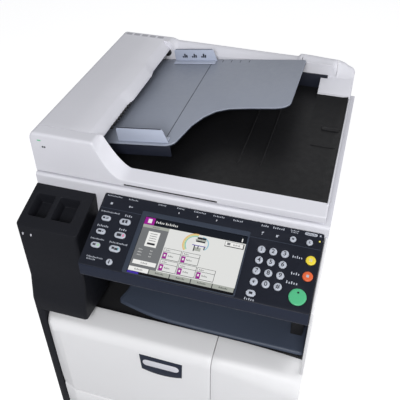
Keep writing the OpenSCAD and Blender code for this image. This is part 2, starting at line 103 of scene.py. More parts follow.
def texture(tree, scale, detail):
    """Output of a noise pattern in object space; scale counts features per metre."""
    place = tree.nodes.new("ShaderNodeTexCoord")
    tex = tree.nodes.new("ShaderNodeTexNoise")
    put(tex, {"Scale": scale, "Detail": detail, "Roughness": 0.55})
    tree.links.new(place.outputs["Object"], tex.inputs["Vector"])
    return tex.outputs["Fac"]


def vary(tree, source, low, high, start=0.3, end=0.7):
    """Maps a pattern's range start..end to the range low..high."""
    ramp = tree.nodes.new("ShaderNodeMapRange")
    put(ramp, {"From Min": start, "From Max": end, "To Min": low, "To Max": high})
    tree.links.new(source, ramp.inputs["Value"])
    return ramp.outputs["Result"]


def blend(tree, low, high, factor):
    """Mix node that runs from colour low to colour high."""
    mix = tree.nodes.new("ShaderNodeMix")
    mix.data_type = "RGBA"
    put(mix, {"A": low, "B": high})
    tree.links.new(factor, mix.inputs["Factor"])
    return mix


def shade_mix(tree, bsdf, color, factor, amount):
    """Base colour that drifts between a darker and a lighter shade of color."""
    mix = blend(tree, shade(color, 1 - amount), shade(color, 1 + amount), factor)
    tree.links.new(mix.outputs["Result"], bsdf.inputs["Base Color"])
    return mix


def relief(tree, bsdf, pattern, strength):
    """Bump from a pattern, 0.4 mm deep at full strength."""
    bump = tree.nodes.new("ShaderNodeBump")
    put(bump, {"Strength": strength, "Distance": 0.0004})
    tree.links.new(pattern, bump.inputs["Height"])
    tree.links.new(bump.outputs["Normal"], bsdf.inputs["Normal"])


def plastic(name, rgb, rough=0.45, grain=1800, bump=0.12, drift=0.03, spec=0.4, coat=0.0):
    """Moulded plastic: spark-eroded grain in the bump, slow drift in colour and polish, lighter colour on
    sharp convex edges.
    """
    mat, tree, bsdf = node_material(name)
    color = srgb(*rgb)
    fine = texture(tree, grain, 2.0)
    slow = texture(tree, 6.0, 4.0)
    mid = texture(tree, 90.0, 5.0)
    base = shade_mix(tree, bsdf, color, vary(tree, slow, 0, 1), drift)
    edge = tree.nodes.new("ShaderNodeNewGeometry")
    # colour turns lighter where the surface bends sharply outward, along rounded edges
    edge_lift = vary(tree, edge.outputs["Pointiness"], 0, 0.35, 0.53, 0.62)
    lift = blend(tree, color, shade(color, 1.25, 0.01), edge_lift)
    tree.links.new(base.outputs["Result"], lift.inputs["A"])
    tree.links.new(lift.outputs["Result"], bsdf.inputs["Base Color"])
    tree.links.new(vary(tree, mid, rough - 0.05, rough + 0.06), bsdf.inputs["Roughness"])
    relief(tree, bsdf, fine, bump)
    put(bsdf, {"Specular IOR Level": spec, "Coat Weight": coat, "Coat Roughness": 0.25})
    return mat


def metal(name, color, rough):
    """Zinc-plated or ground steel with a fine streaked grain."""
    mat, tree, bsdf = node_material(name)
    streak = texture(tree, 240.0, 6.0)
    shade_mix(tree, bsdf, color, vary(tree, streak, 0, 1), 0.12)
    tree.links.new(vary(tree, streak, rough - 0.08, rough + 0.12), bsdf.inputs["Roughness"])
    put(bsdf, {"Metallic": 1.0})
    return mat


def rubber(name, color):
    mat, tree, bsdf = node_material(name)
    grit = texture(tree, 900.0, 4.0)
    shade_mix(tree, bsdf, color, vary(tree, grit, 0, 1), 0.2)
    relief(tree, bsdf, grit, 0.3)
    put(bsdf, {"Roughness": 0.8})
    return mat


def lit(name, rgb, strength=0.9):
    """A patch of the lit display: a dark panel that glows, with a faint pixel grid."""
    mat, tree, bsdf = node_material(name)
    color = srgb(*rgb)
    grid = texture(tree, 2600.0, 0.0)
    shade_mix(tree, bsdf, (0.006, 0.006, 0.007), grid, 0.1)
    glow = blend(tree, shade(color, 0.93), color, grid)
    tree.links.new(glow.outputs["Result"], bsdf.inputs["Emission Color"])
    put(bsdf, {"Emission Strength": strength, "Roughness": 0.25, "Specular IOR Level": 0.1})
    return mat


def clear_glass(name):
    mat, tree, bsdf = node_material(name)
    smear = texture(tree, 14.0, 5.0)
    tree.links.new(vary(tree, smear, 0.02, 0.07), bsdf.inputs["Roughness"])
    put(bsdf, {"Base Color": (0.8, 0.92, 0.9, 1), "Transmission Weight": 0.9, "IOR": 1.5})
    return mat


WHITE = plastic("cover_white_moulding", (224, 224, 226), 0.4, bump=0.08, drift=0.01, spec=0.3)
GREY = plastic("feeder_grey_moulding", (208, 208, 215), 0.42, bump=0.1, drift=0.015, spec=0.3)
BLACK = plastic("trim_black_moulding", (28, 29, 34), 0.45, bump=0.3, drift=0.06, spec=0.12)
NAVY = plastic("bay_navy_moulding", (70, 78, 94), 0.4, bump=0.25, drift=0.05, spec=0.3)
PANEL = plastic("panel_satin", (26, 29, 39), 0.4, bump=0.15, drift=0.05, spec=0.2)
BEZEL = plastic("screen_bezel_satin", (52, 59, 72), 0.38, bump=0.1, drift=0.04, spec=0.2)
LIP = plastic("panel_lip_satin", (37, 42, 56), 0.4, bump=0.15, drift=0.05, spec=0.12)
TRAY = plastic("tray_black_moulding", (20, 20, 22), 0.5, bump=0.35, drift=0.08, spec=0.25)
TABLE = plastic("table_blue_grey", (140, 146, 160), 0.42, bump=0.15, drift=0.03)
TABLE_EDGE = plastic("table_edge_navy", (27, 30, 41), 0.45, bump=0.15, drift=0.05, spec=0.2)
GUIDE = plastic("guide_blue_grey", (164, 171, 188), 0.38, bump=0.08, drift=0.03)
INNER = plastic("inner_black_moulding", (30, 30, 32), 0.5, bump=0.3, drift=0.08)
KEY = plastic("key_grey", (176, 181, 192), 0.38, bump=0.08, drift=0.04)
YELLOW = plastic("key_yellow", (226, 205, 62), 0.36, bump=0.08, drift=0.04)
ORANGE = plastic("key_orange", (214, 98, 56), 0.36, bump=0.08, drift=0.04)
GREEN = plastic("key_green", (78, 176, 126), 0.36, bump=0.08, drift=0.04)
INK_GREY = plastic("legend_grey", (188, 188, 196), 0.5, bump=0.02)
INK_MID = plastic("legend_mid_grey", (158, 158, 165), 0.5, bump=0.02)
INK_DARK = plastic("legend_dark", (28, 30, 38), 0.5, bump=0.02)
INK_PALE = plastic("legend_pale", (168, 172, 182), 0.5, bump=0.02)
MAT_WHITE = plastic("platen_mat_white", (240, 240, 238), 0.6, grain=700, bump=0.2, drift=0.02)
TONER = plastic("toner_dark", (52, 54, 60), 0.4, bump=0.2)
DRUM = plastic("drum_coating", (40, 120, 110), 0.15, bump=0.02, spec=0.6, coat=0.5)
HEAT = plastic("fuser_coating", (86, 52, 36), 0.2, bump=0.02, coat=0.4)
TUB = plastic("drawer_tub_grey", (150, 152, 156), 0.5, bump=0.2)
STEEL = metal("zinc_plated_steel", (0.62, 0.63, 0.64), 0.34)
ROD = metal("ground_steel", (0.72, 0.73, 0.74), 0.18)
RUBBER = rubber("foot_rubber", (0.02, 0.02, 0.02))
ROLLER = rubber("roller_rubber", (0.05, 0.05, 0.055))
PRESS = rubber("silicone_rubber", (0.3, 0.08, 0.05))
GLASS = clear_glass("platen_glass_clear")

# -------------------- mesh helpers


def loft(sections):
    """Closed solid through a list of closed loops with equal numbers of points."""
    bm = bmesh.new()
    rings = [[bm.verts.new(p) for p in loop] for loop in sections]
    n = len(rings[0])
    for a, b in zip(rings, rings[1:]):
        for i in range(n):
            j = (i + 1) % n
            bm.faces.new((a[i], a[j], b[j], b[i]))
    bm.faces.new(rings[0])
    bm.faces.new(rings[-1])
    bmesh.ops.recalc_face_normals(bm, faces=bm.faces)
    return bm


def prism(points, axis, a, b):
    """Closed outline pushed along an axis; the outline is in the other two axes, in X, Y, Z order."""
    def place(p, d):
        return {"x": (d, p[0], p[1]), "y": (p[0], d, p[1]), "z": (p[0], p[1], d)}[axis]
    return loft([[place(p, a) for p in points], [place(p, b) for p in points]])


def block(lo, hi):
    outline = [(lo[0], lo[1]), (hi[0], lo[1]), (hi[0], hi[1]), (lo[0], hi[1])]
    return prism(outline, "z", lo[2], hi[2])


def arc(cx, cy, r, a0, a1, n=8):
    """Points of an arc, angles in degrees."""
    steps = [math.radians(a0 + (a1 - a0) * i / n) for i in range(n + 1)]
    return [(cx + r * math.cos(t), cy + r * math.sin(t)) for t in steps]


def disc(cx, cy, r, n=31):
    return arc(cx, cy, r, 0, 360, n)[:-1]


def rounded(w, h, r, at=(0, 0)):
    """Outline of a rectangle with round corners, centred on at."""
    pts = []
    for sx, sy, a in ((1, 1, 0), (-1, 1, 90), (-1, -1, 180), (1, -1, 270)):
        pts += arc(sx * (w / 2 - r), sy * (h / 2 - r), r, a, a + 90, 6)
    return [(at[0] + x, at[1] + y) for x, y in pts]


def join(parts):
    """One mesh from several solids."""
    joined = bmesh.new()
    for part in parts:
        mesh = bpy.data.meshes.new("part")
        part.to_mesh(mesh)
        joined.from_mesh(mesh)
        part.free()
    return joined


def blocks(rects, z0, z1):
    """One mesh of several flat rectangles, each (centre x, centre y, width, height)."""
    return join([block((x - w / 2, y - h / 2, z0), (x + w / 2, y + h / 2, z1)) for x, y, w, h in rects])


def stations(x0, x1, step):
    """Evenly spaced places from x0 to x1, about a step apart."""
    n = max(2, int(round((x1 - x0) / step)))
    return [x0 + (x1 - x0) * i / n for i in range(n + 1)]


def add(name, data):
    obj = bpy.data.objects.new(name, data)
    bpy.context.scene.collection.objects.link(obj)
    return obj


def to_object(name, bm, mat):
    """bmesh in millimetres to an object in metres."""
    mesh = bpy.data.meshes.new(name)
    bmesh.ops.scale(bm, vec=(0.001, 0.001, 0.001), verts=bm.verts)
    bm.to_mesh(mesh)
    bm.free()
    mesh.materials.append(mat)
    return add(name, mesh)


def bake(obj):
    """Applies the object's modifiers."""
    graph = bpy.context.evaluated_depsgraph_get()
    done = bpy.data.meshes.new_from_object(obj.evaluated_get(graph))
    obj.modifiers.clear()
    obj.data = done


SHARP = math.radians(32)                 # edges sharper than this stay crisp


def smooth(obj):
    """Smooth shading with crisp edges."""
    bm = bmesh.new()
    bm.from_mesh(obj.data)
    for face in bm.faces:
        face.smooth = True
    for edge in bm.edges:
        edge.smooth = len(edge.link_faces) == 2 and edge.calc_face_angle(0) < SHARP
    bm.to_mesh(obj.data)
    bm.free()


def cut(obj, *tools):
    """Takes closed bmesh solids, in millimetres, away from obj."""
    for tool in tools:
        cutter = to_object("cutter", tool, obj.data.materials[0])
        mod = obj.modifiers.new("cut", "BOOLEAN")
        mod.operation = "DIFFERENCE"
        mod.solver = "EXACT"
        mod.object = cutter
        bake(obj)
        bpy.data.objects.remove(cutter)


def bevel(obj, width, segments=3, angle=30):
    """Rounds every edge sharper than angle."""
    mod = obj.modifiers.new("bevel", "BEVEL")
    mod.width = width / 1000
    mod.segments = segments
    mod.limit_method = "ANGLE"
    mod.angle_limit = math.radians(angle)
    bake(obj)


def finish(obj, body, replaces=()):
    smooth(obj)
    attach(obj, body)
    if replaces:
        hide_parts(*replaces)


def piece(name, bm, mat, body, width=1.2, replaces=(), cuts=(), segments=3, place=None, angle=30):
    """A finished piece: solid, cut-outs, rounded edges, material and body."""
    obj = to_object(name, bm, mat)
    cut(obj, *cuts)
    if width:
        bevel(obj, width, segments, angle)
    if place:
        obj.data.transform(place)
    finish(obj, body, replaces)


def slabs(body, mat, entries):
    """Block-shaped pieces; each entry is a name, two corners and the width of its rounded edges."""
    for name, lo, hi, width in entries:
        piece(name, block(lo, hi), mat, body, width)


def refined(node, mat, body, width=1.0, segments=2):
    """A CAD node's own shape with rounded edges, standing for that node."""
    bm = bmesh.new()
    bm.from_mesh(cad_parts[node].data)
    bmesh.ops.scale(bm, vec=(1000, 1000, 1000), verts=bm.verts)
    bmesh.ops.remove_doubles(bm, verts=bm.verts, dist=0.01)
    bmesh.ops.dissolve_limit(bm, angle_limit=math.radians(1), verts=bm.verts, edges=bm.edges)
    obj = to_object(node + "_skin", bm, mat)
    bevel(obj, width, segments)
    finish(obj, body, [node])


# -------------------- plain CAD parts: rounded edges and materials for some, only new materials for the rest

for node, mat, slot in (("rear_cover", WHITE, "cover_white"), ("left_cover", WHITE, "cover_white"),
                        ("laser_unit", INNER, "inner_black"), ("toner_container", TONER, "toner_dark")):
    refined(node, mat, "chassis")
refined("side_door", WHITE, "jam_door", 1.5)
refined("bypass_tray", WHITE, "bypass", 1.5)
refined("lamp_carriage", INNER, "lamp")
refined("mirror_carriage", INNER, "mirrors")
refined("rubber_feet", RUBBER, "chassis", 2.0, 3)
for node, mat in (("base_frame", STEEL), ("platen_glass", GLASS), ("scan_rod", ROD),
                  ("feeder_hinges", STEEL), ("drum", DRUM), ("heat_roller", HEAT),
                  ("press_roller", PRESS), ("feed_roller", ROLLER), ("platen_mat", MAT_WHITE)):
    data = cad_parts[node].data
    data.materials.clear()
    data.materials.append(mat)

# -------------------- document feeder


def ease(t, power):
    return 0.0 if t >= 1 else 1.0 if t <= 0 else (1 - t) ** power


def front_heights(x):
    """Heights of the front wall's outer and inner top edges at x: the feed unit sweeps down to the rim."""
    outer = RIM_OUT + (HUMP_Z - RIM_OUT) * ease((x + 163) / 56, 2.0)
    inner = RIM_IN + (HUMP_Z - RIM_IN) * ease((x + 153) / 56, 1.6)
    return outer, inner


def front_section(x):
    """Loop in Y and Z through the feeder's front wall."""
    outer, inner = front_heights(x)
    y0, y1 = FEED_FRONT, FEED_FRONT + CHEEK
    r = 4 + 2 * (outer - RIM_OUT) / (HUMP_Z - RIM_OUT)
    loop = [(y0 + 1.5, FEED_Z), (y0, FEED_Z + 2), (y0, (FEED_Z + outer) / 2)]
    lean = math.degrees(math.atan2(inner - outer, CHEEK - r))
    loop += arc(y0 + r, outer - r, r, 180, 90 + lean, 6)
    loop += [(y1 - 0.4, inner), (y1, inner - 0.4), (y1, FEED_Z + 7)]
    return [(x, y, z) for y, z in loop]


def along(knots, x):
    """Smooth curve through (x, value) knots."""
    for (x0, v0), (x1, v1) in zip(knots, knots[1:]):
        if x <= x1:
            t = max(0, min(1, (x - x0) / (x1 - x0)))
            return v0 + (v1 - v0) * t * t * (3 - 2 * t)
    return knots[-1][1]


# the ridge's top and foot at places along X, as heights over the hump's top
RIDGE_TOP = [(-300, 0), (-166, 0), (-146, -5), (152, -8), (160, -1), (246, -5), (251, -6), (262, -9),
             (274, -16), (284, -20), (291, -30)]
RIDGE_FOOT = [(-168, 0), (-148, -24), (-50, -22), (175, -9), (236, -9), (252, -37), (291, -39)]


def ridge_section(x):
    """Loop in Y and Z through the rear ridge: a rounded top that slopes down to its foot in front."""
    top = HUMP_Z + along(RIDGE_TOP, x)
    foot = min(HUMP_Z + along(RIDGE_FOOT, x), top - 0.4)
    drop = top - foot
    loop = [(REAR - 1.5, FEED_Z), (REAR, FEED_Z + 2)] + arc(REAR - 7, top - 7, 7, 0, 90, 5)
    loop += [(REAR - 12, top - 0.05 * drop), (REAR - 17, top - 0.3 * drop), (REAR - 22, top - 0.7 * drop),
             (RIDGE + 4, foot + 0.1 * drop), (RIDGE + 0.6, foot), (RIDGE, foot - 0.6), (RIDGE, FEED_Z + 7)]
    return [(x, y, z) for y, z in loop]


def rounded_end(section, x_end, towards, r):
    """Sections that pull in to round off the end of a wall at x_end."""
    out = []
    for i in range(5):
        a = math.radians(90 * i / 4)
        x = x_end + towards * r * (1 - math.cos(a))
        loop = section(x)
        top = max(p[2] for p in loop)
        sink = r * (1 - math.sin(a))
        out.append([(x, y, z - sink * max(0, (z - top + 30) / 30)) for _, y, z in loop])
    return out


def wall(section, left_r, right_r, *runs):
    """Solid of a wall as wide as the feeder: rounded ends, and runs of (from, to, step) between them."""
    sections = rounded_end(section, FEED_X0, 1, left_r)
    for run in runs:
        sections += [section(x) for x in stations(*run)]
    return loft(sections + rounded_end(section, FEED_X1, -1, right_r)[::-1])


front_wall = wall(front_section, 10, 3, (FEED_X0 + 12, -172, 14), (-168, -94, 3), (-80, FEED_X1 - 4, 26))
slot_cut = block((-106, FEED_FRONT - 2, FEED_Z + 2), (85, FEED_FRONT + 4, FEED_Z + 6.5))
piece("feeder_front_wall", front_wall, GREY, "feeder", 0, ["feeder_base"], [slot_cut])

HINGE_X = 190                            # the feeder's hinges stand this far from the middle
rear_wall = wall(ridge_section, 10, 2, (FEED_X0 + 12, -170, 16), (-168, -140, 4), (-130, 140, 30),
                 (150, 164, 2), (172, 236, 16), (240, FEED_X1 - 3, 4))
pockets = [block((x - 14, RIDGE - 2, FEED_Z - 2), (x + 14, REAR + 2, FEED_Z + 20))
           for x in (-HINGE_X, HINGE_X)]
grooves = [block((x, RIDGE - 2, HUMP_Z - 36), (x + 1.2, REAR + 2, HUMP_Z - 3)) for x in (164, 248)]
piece("feeder_rear_ridge", rear_wall, GREY, "feeder", 0, (), pockets + grooves)
slabs("feeder", TABLE_EDGE, [
    ("feeder_ridge_shadow_strip", (-120, RIDGE - 5, SCAN_TOP + 20), (230, RIDGE - 1, SCAN_TOP + 62), 1)])
sill_y = FEED_FRONT + CHEEK - 4
slabs("feeder", GREY, [
    ("feeder_floor", (FEED_X0 + 1, FEED_FRONT + 6, FEED_Z + 3), (FEED_X1 - 1, RIDGE + 2, FEED_Z + 7), 0.5),
    ("feeder_left_sill", (FEED_X0, sill_y, FEED_Z), (FEED_X0 + 3, RIDGE + 4, FEED_Z + 9), 0.8),
    ("feeder_right_sill", (FEED_X1 - 3, sill_y, FEED_Z), (FEED_X1, RIDGE + 4, RIM_IN + 1), 0.8)])
shelf = [(RIDGE - 42, FEED_Z + 6), (RIDGE - 42, RIM_IN + 9), (RIDGE + 4, RIM_IN + 30),
         (RIDGE + 4, FEED_Z + 6)]
piece("feeder_corner_shelf", prism(shelf, "x", 214, FEED_X1 - 1), GREY, "feeder", 1.5)
# painted shade: a black block just behind the shallow slot stands in for the shadowed depth inside the slot
slabs("feeder", INNER, [
    ("feeder_slot_painted_shade", (-107, FEED_FRONT + 1.5, FEED_Z + 1), (86, FEED_FRONT + 5, FEED_Z + 7.5), 0.3)])
mark_y0, mark_y1 = FEED_FRONT - 0.25, FEED_FRONT + 1
slabs("feeder", GREEN, [
    ("feeder_lamp", (-282, mark_y0, HUMP_Z - 17), (-274, mark_y1, HUMP_Z - 14.5), 0.1)])
slabs("feeder", INK_DARK, [
    (f"feeder_symbol_{i}", (x, mark_y0, HUMP_Z - 32), (x + 3.4, mark_y1, HUMP_Z - 28), 0.1)
    for i, x in enumerate((-274, -269.5))])
slabs("feeder", INK_MID, [
    (f"feeder_pictogram_{i}", (x, RIDGE + 11, HUMP_Z - 0.3), (x + 15, RIDGE + 21, HUMP_Z + 0.15), 0)
    for i, x in enumerate(range(-286, -201, 21))])
roller_end = disc(-170, HUMP_Z - 28, 9)
piece("feeder_roller_end", prism(roller_end, "y", 286.4, RIDGE - 0.4), INNER, "feeder", 0.8)


def cover_section(y):
    """Loop in X and Z through the hinged feed cover, with a finger recess in its lip."""
    recess = 4.5 * max(0, min(1, (y - 12) / 24)) * max(0, min(1, (172 - y) / 24))
    lip, x0, r, top = top_hi.x + recess, FEED_X0, 10, HUMP_Z
    loop = [(x0, top_lo.z)] + arc(x0 + r, top - r, r, 180, 90, 8)
    loop += [(-230, top), (lip - 18, top), (lip - 16.4, top - 0.8), (lip - 2.4, top - 15)]
    loop += [(lip - 0.5, top - 18), (lip, top - 21), (lip - 2, top - 23), (lip - 4, top - 21)]
    loop += [(lip - 18, top - 4), (-230, top - 3)] + arc(x0 + r, top - r, r - 3, 90, 180, 8)
    loop.append((x0 + 3, top_lo.z))
    return [(x, y, z) for x, z in loop]


cover_y = [top_lo.y + 0.1] + stations(top_lo.y + 20, 8, 30) + stations(12, 36, 4) + [60, 90, 120, 145]
cover_y += stations(148, 172, 4) + stations(190, top_hi.y - 0.1, 30)
piece("feed_cover_shell", loft([cover_section(y) for y in cover_y]), GREY, "feeder_top", 0,
      ["feed_cover"])
for side, y in enumerate((top_lo.y + 1, top_hi.y - 9)):
    ear = prism(disc(-HALF_W + 10, SCAN_TOP + 28, 7), "y", y, y + 8)
    piece(f"feed_cover_knuckle_{side}", ear, GREY, "feeder_top", 0.6)
# comb of feed fingers under the cover's lip
slabs("feeder_top", INNER, [
    (f"feed_finger_{i}", (-178, y, HUMP_Z - 27), (-162, y + 6, HUMP_Z - 20), 0.8)
    for i, y in enumerate(range(-78, 19, 12))])

# -------------------- eject tray

tray_lo, tray_hi = mm_box("eject_tray")


def tray_height(x):
    t = max(0, min(1, (x + 160) / 300))
    return SCAN_TOP + 14 + 11 * t * t * (3 - 2 * t)


tray_loops = []
for x in stations(tray_lo.x, 212, 22) + stations(213.5, tray_hi.x, 6):
    z = tray_height(x)
    back = RIDGE - 5.5 if x < 213 else RIDGE - 43
    rise = 3 if x < 213 else 7
    z += 2.5 * max(0, (x - 274) / 12)
    loop = [(tray_lo.y, FEED_Z + 7.2), (tray_lo.y, z + 2), (tray_lo.y + 5, z), (60, z), (back - 14, z),
            (back - 2, z + rise), (back, z + rise), (back, FEED_Z + 7.2)]
    tray_loops.append([(x, y, h) for y, h in loop])
piece("eject_tray_floor", loft(tray_loops), TRAY, "feeder", 0, ["eject_tray"])
under, stop_z = SCAN_TOP + 20, tray_height(260)
slabs("feeder", TRAY, [
    (f"eject_tray_rib_{i}", (x, -60, under), (x + 3, 170, tray_height(x) + 1.2), 0.8)
    for i, x in enumerate((96, 142))])
slabs("feeder", TRAY, [
    ("eject_tray_stop", (243, 108, under), (281, 118, stop_z + 3.2), 1.2),
    ("eject_tray_step", (228, 44, under), (284, 47, stop_z + 1.6), 0.7)])

# -------------------- document table and its guides
# table space: x up the slope from the table's hinge, z out of its face

TABLE_ORIGIN = Vector((-196, 0, SCAN_TOP + 42))
TABLE_PLACE = Matrix.Translation(TABLE_ORIGIN * 0.001) @ Matrix.Rotation(-TABLE_TILT, 4, "Y")


def table_piece(name, bm, mat, body="original_table", width=0.8, replaces=()):
    piece(name, bm, mat, body, width, replaces, place=TABLE_PLACE)


table_outline = [(-1, -100), (148, -100)] + arc(152, -76, 24, -80, -10, 6) + [(188, -20), (203, 14)]
table_outline += [(222, 38), (248, 51), (290, 56), (345, 59)]
table_outline += arc(350, 86, 25, -70, 0, 6) + [(376, 278)] + arc(369, 278, 7, 0, 90, 4)[1:] + [(-1, 285)]
table_top = prism(table_outline, "z", 2.2, 6)
table_piece("document_table_top", table_top, TABLE, width=1.4, replaces=["document_table"])
table_piece("document_table_rim", prism(table_outline, "z", 0.6, 2.4), TABLE_EDGE, width=0.5)
table_piece("document_table_skirt", block((8, -100, -22), (166, -96.5, 2.5)), TABLE_EDGE, width=1.2)
table_piece("document_table_knuckle", prism(disc(0, 0, 6), "y", -100, 285), TABLE_EDGE, width=0.5)
table_piece("document_table_line", block((150, -70, 5.9), (151.2, 270, 6.25)), TABLE_EDGE, width=0)
for i in range(4):
    x = 175 + 22 * i
    table_piece(f"document_table_mark_{i}", block((x, 268, 5.9), (x + 1.2, 280, 6.25)), INK_DARK, width=0)


def guide(name, y, side, body, node):
    outline = [(54, 6.4), (162, 6.4), (155, 32)] + arc(150, 32, 5, 0, 90, 4) + arc(59, 32, 5, 90, 180, 4)
    plate = prism(outline, "y", y - 1.5, y + 1.5)
    table_piece(name + "_plate", plate, GUIDE, body, 0.9, [node])
    foot = block((54, y + side * 8 - 9.4, 6.4), (160, y + side * 8 + 9.4, 9))
    table_piece(name + "_foot", foot, GUIDE, body, 0.8)
    ridge = block((58, y - 1.2, 36.6), (151, y + 1.2, 37.4))
    table_piece(name + "_ridge", ridge, TABLE_EDGE, body, 0.3)
    face = y + side * 1.6
    for i in range(3):
        x = 74 + 24 * i
        for j, (dx, top) in enumerate(((0, 20), (4.5, 26), (9, 23))):
            mark = block((x + dx, face - 0.2, 16), (x + dx + 3.4, face + 0.2, top))
            table_piece(f"{name}_mark_{i}{j}", mark, TABLE_EDGE, body, 0)


guide("guide_front", -93, 1, "front_guide", "guide_front")
guide("guide_rear", 274, -1, "rear_guide", "guide_rear")

# -------------------- scanner

scanner = [(SCAN_FRONT + 2, body_lo.z), (SCAN_FRONT, body_lo.z + 2), (SCAN_FRONT, SCAN_TOP - 7)]
scanner += arc(SCAN_FRONT + 6, SCAN_TOP - 6, 6, 180, 90, 5)
scanner += [(REAR - 2, SCAN_TOP), (REAR, SCAN_TOP - 2), (REAR, body_lo.z + 2), (REAR - 2, body_lo.z)]
inside = block((-HALF_W + 4, SCAN_FRONT + 4, body_lo.z + 3), (HALF_W - 4, REAR - 4, SCAN_TOP - 4))
glass_lo, glass_hi = mm_box("platen_glass")
windows = [block((x0, glass_lo.y - 0.2, SCAN_TOP - 9), (x1, glass_hi.y + 0.2, SCAN_TOP + 1))
           for x0, x1 in ((-150, glass_hi.x + 0.2), (glass_lo.x - 0.2, -195))]
piece("scanner_shell", prism(scanner, "x", -HALF_W, HALF_W), GREY, "chassis", 1.2,
      ["scanner_housing"], [inside] + windows)
slabs("chassis", STEEL, [
    ("scanner_rail", (-HALF_W + 3, -140, SCAN_TOP - 35), (HALF_W - 3, -132, SCAN_TOP - 29), 0.5)])

# -------------------- control panel
# panel space: x from the left end, y up the slope from the top edge, z out of the face

PANEL_PLACE = Matrix.Translation(PANEL_ORIGIN * 0.001) @ Matrix.Rotation(TILT, 4, "X")
SCREEN_U, SCREEN_V = 97, 34              # the screen's window: left edge, and top edge down the slope
SCREEN_W, SCREEN_H = 203, 119
SCREEN_MID = (SCREEN_U + SCREEN_W / 2, -SCREEN_V - SCREEN_H / 2)
# heights of the oval keys
KEY_H = {"key_clear": 12, "key_status": 11, "key_program": 11, "key_application": 11, "key_copy": 12.5,
         "key_send": 12.5, "key_document_box": 12.5}
key_nodes = [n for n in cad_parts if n.startswith("key_")]


def panel_piece(name, bm, mat, width=0.5, body="chassis", replaces=(), cuts=()):
    piece(name, bm, mat, body, width, replaces, cuts, 3, PANEL_PLACE)


def panel_uv(node):
    """A key's place on the panel and its width, without its flange."""
    lo, hi = mm_box(node)
    flat = Matrix.Rotation(-TILT, 3, "X") @ ((lo + hi) / 2 - PANEL_ORIGIN)
    return flat.x, flat.y, hi.x - lo.x - 2.4


def key_outline(node, grow):
    """A key's place and its outline round that place: a circle, or an oval where KEY_H has its height."""
    u, v, w = panel_uv(node)
    h = KEY_H.get(node, w) + grow
    w += grow
    n = 24 if w > 25 else 14
    if w <= h + 0.01:
        return u, v, disc(0, 0, w / 2, 2 * n)
    return u, v, arc((w - h) / 2, 0, h / 2, -90, 90, n) + arc(-(w - h) / 2, 0, h / 2, 90, 270, n)


holes = []
for node in key_nodes:
    u, v, pts = key_outline(node, 1.2)
    holes.append(prism([(u + x, v + y) for x, y in pts], "z", -9, 3))
window = prism(rounded(SCREEN_W, SCREEN_H, 2, SCREEN_MID), "z", -9, 3)
face = prism(rounded(U, V, 4, (U / 2, -V / 2)), "z", -FACE_T, 0)
piece("panel_face", face, PANEL, "chassis", 0.5, ["panel_cover"], [join(holes + [window])],
      2, PANEL_PLACE, 40)

# bezel round the screen and dividing lines
bezel_w, bezel_h = 215, V - 25
bezel = prism(rounded(bezel_w, bezel_h, 4, (88 + bezel_w / 2, -24 - bezel_h / 2)), "z", -0.5, 0.7)
opening = prism(rounded(SCREEN_W, SCREEN_H, 2, SCREEN_MID), "z", -2, 3)
panel_piece("screen_bezel", bezel, BEZEL, cuts=[opening])
for name, u0, u1 in (("left", 2, 87), ("right", 304, U - 2)):
    panel_piece(f"panel_line_{name}", block((u0, -33.6, -0.3), (u1, -32.6, 0.25)), BEZEL, width=0.2)

# fascia and tub under the face: upright front with a rolled lower edge, sweeping back underneath
lip_y, lip_z = panel_lo.y + 0.4, PANEL_ORIGIN.z - V * math.sin(TILT) - FACE_T
rear_y, rear_z = PANEL_ORIGIN.y, PANEL_ORIGIN.z - FACE_T


def tub_outline(inset, depth, rise=0):
    """Outline in Y and Z of the tub; rise lifts its two upper ends."""
    bottom = lip_z - depth
    loop = [(lip_y + inset, lip_z + 0.2 + rise)] + arc(lip_y + inset + 9, bottom + 9, 9, 180, 262, 7)
    loop += [(lip_y + 60, bottom + 8), (rear_y - inset, rear_z - 62 + 2 * inset)]
    return loop + [(rear_y - inset, rear_z + 0.2 + rise)]


tub = prism(tub_outline(0, 34), "x", panel_lo.x, panel_hi.x)
hollow = prism(tub_outline(4, 30, 3), "x", panel_lo.x + 3, panel_hi.x - 3)
piece("panel_tub", tub, LIP, "chassis", 1.4, ["panel_base"], [hollow])

# key caps with domed tops and their legends
digits = {"key_star": "*", "key_hash": "#"}
digits.update({f"key_{i}": str(i) for i in range(10)})
caps = {"key_reset": (YELLOW, "key_yellow"), "key_stop": (ORANGE, "key_orange"),
        "key_start": (GREEN, "key_green")}


def key_cap(node):
    """Flanged cap with a soft shoulder and a slightly domed top."""
    u, v, pts = key_outline(node, 0)
    flange = key_outline(node, 2.4)[2]
    loops = [[(u + x, v + y, z) for x, y in flange] for z in (-6.5, -3.5)]
    loops += [[(u + x, v + y, z) for x, y in pts] for z in (-3.5, 0.9)]
    for shrink, z in ((0.97, 1.35), (0.9, 1.7), (0.75, 1.9), (0.45, 2.05), (0.12, 2.1)):
        loops.append([(u + x * shrink, v + y * shrink, z) for x, y in pts])
    return loft(loops)


def legend(node, u, v):
    """A digit, star or hash printed on its key."""
    curve = bpy.data.curves.new(node + "_legend", "FONT")
    curve.body = digits[node]
    curve.align_x, curve.align_y = "CENTER", "CENTER"
    curve.size = 0.0115
    curve.extrude = 0.00008
    curve.offset = 0.00025
    helper = add(node + "_legend", curve)
    graph = bpy.context.evaluated_depsgraph_get()
    mesh = bpy.data.meshes.new_from_object(helper.evaluated_get(graph))
    bpy.data.objects.remove(helper)
    mesh.transform(PANEL_PLACE @ Matrix.Translation((u / 1000, v / 1000, 0.00202)))
    mesh.materials.clear()
    mesh.materials.append(INK_DARK)
    obj = add(node + "_legend", mesh)
    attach(obj, node + "_cap")


STAR_DROP = 2.4                          # a star prints high on its line, so it is set lower
for node in key_nodes:
    mat, slot = caps.get(node, (KEY, "key_grey"))
    panel_piece(node + "_cap_top", key_cap(node), mat, 0, node + "_cap", [node])
    if node in digits:
        u, v, _ = panel_uv(node)
        legend(node, u, v - (STAR_DROP if node == "key_star" else 0))

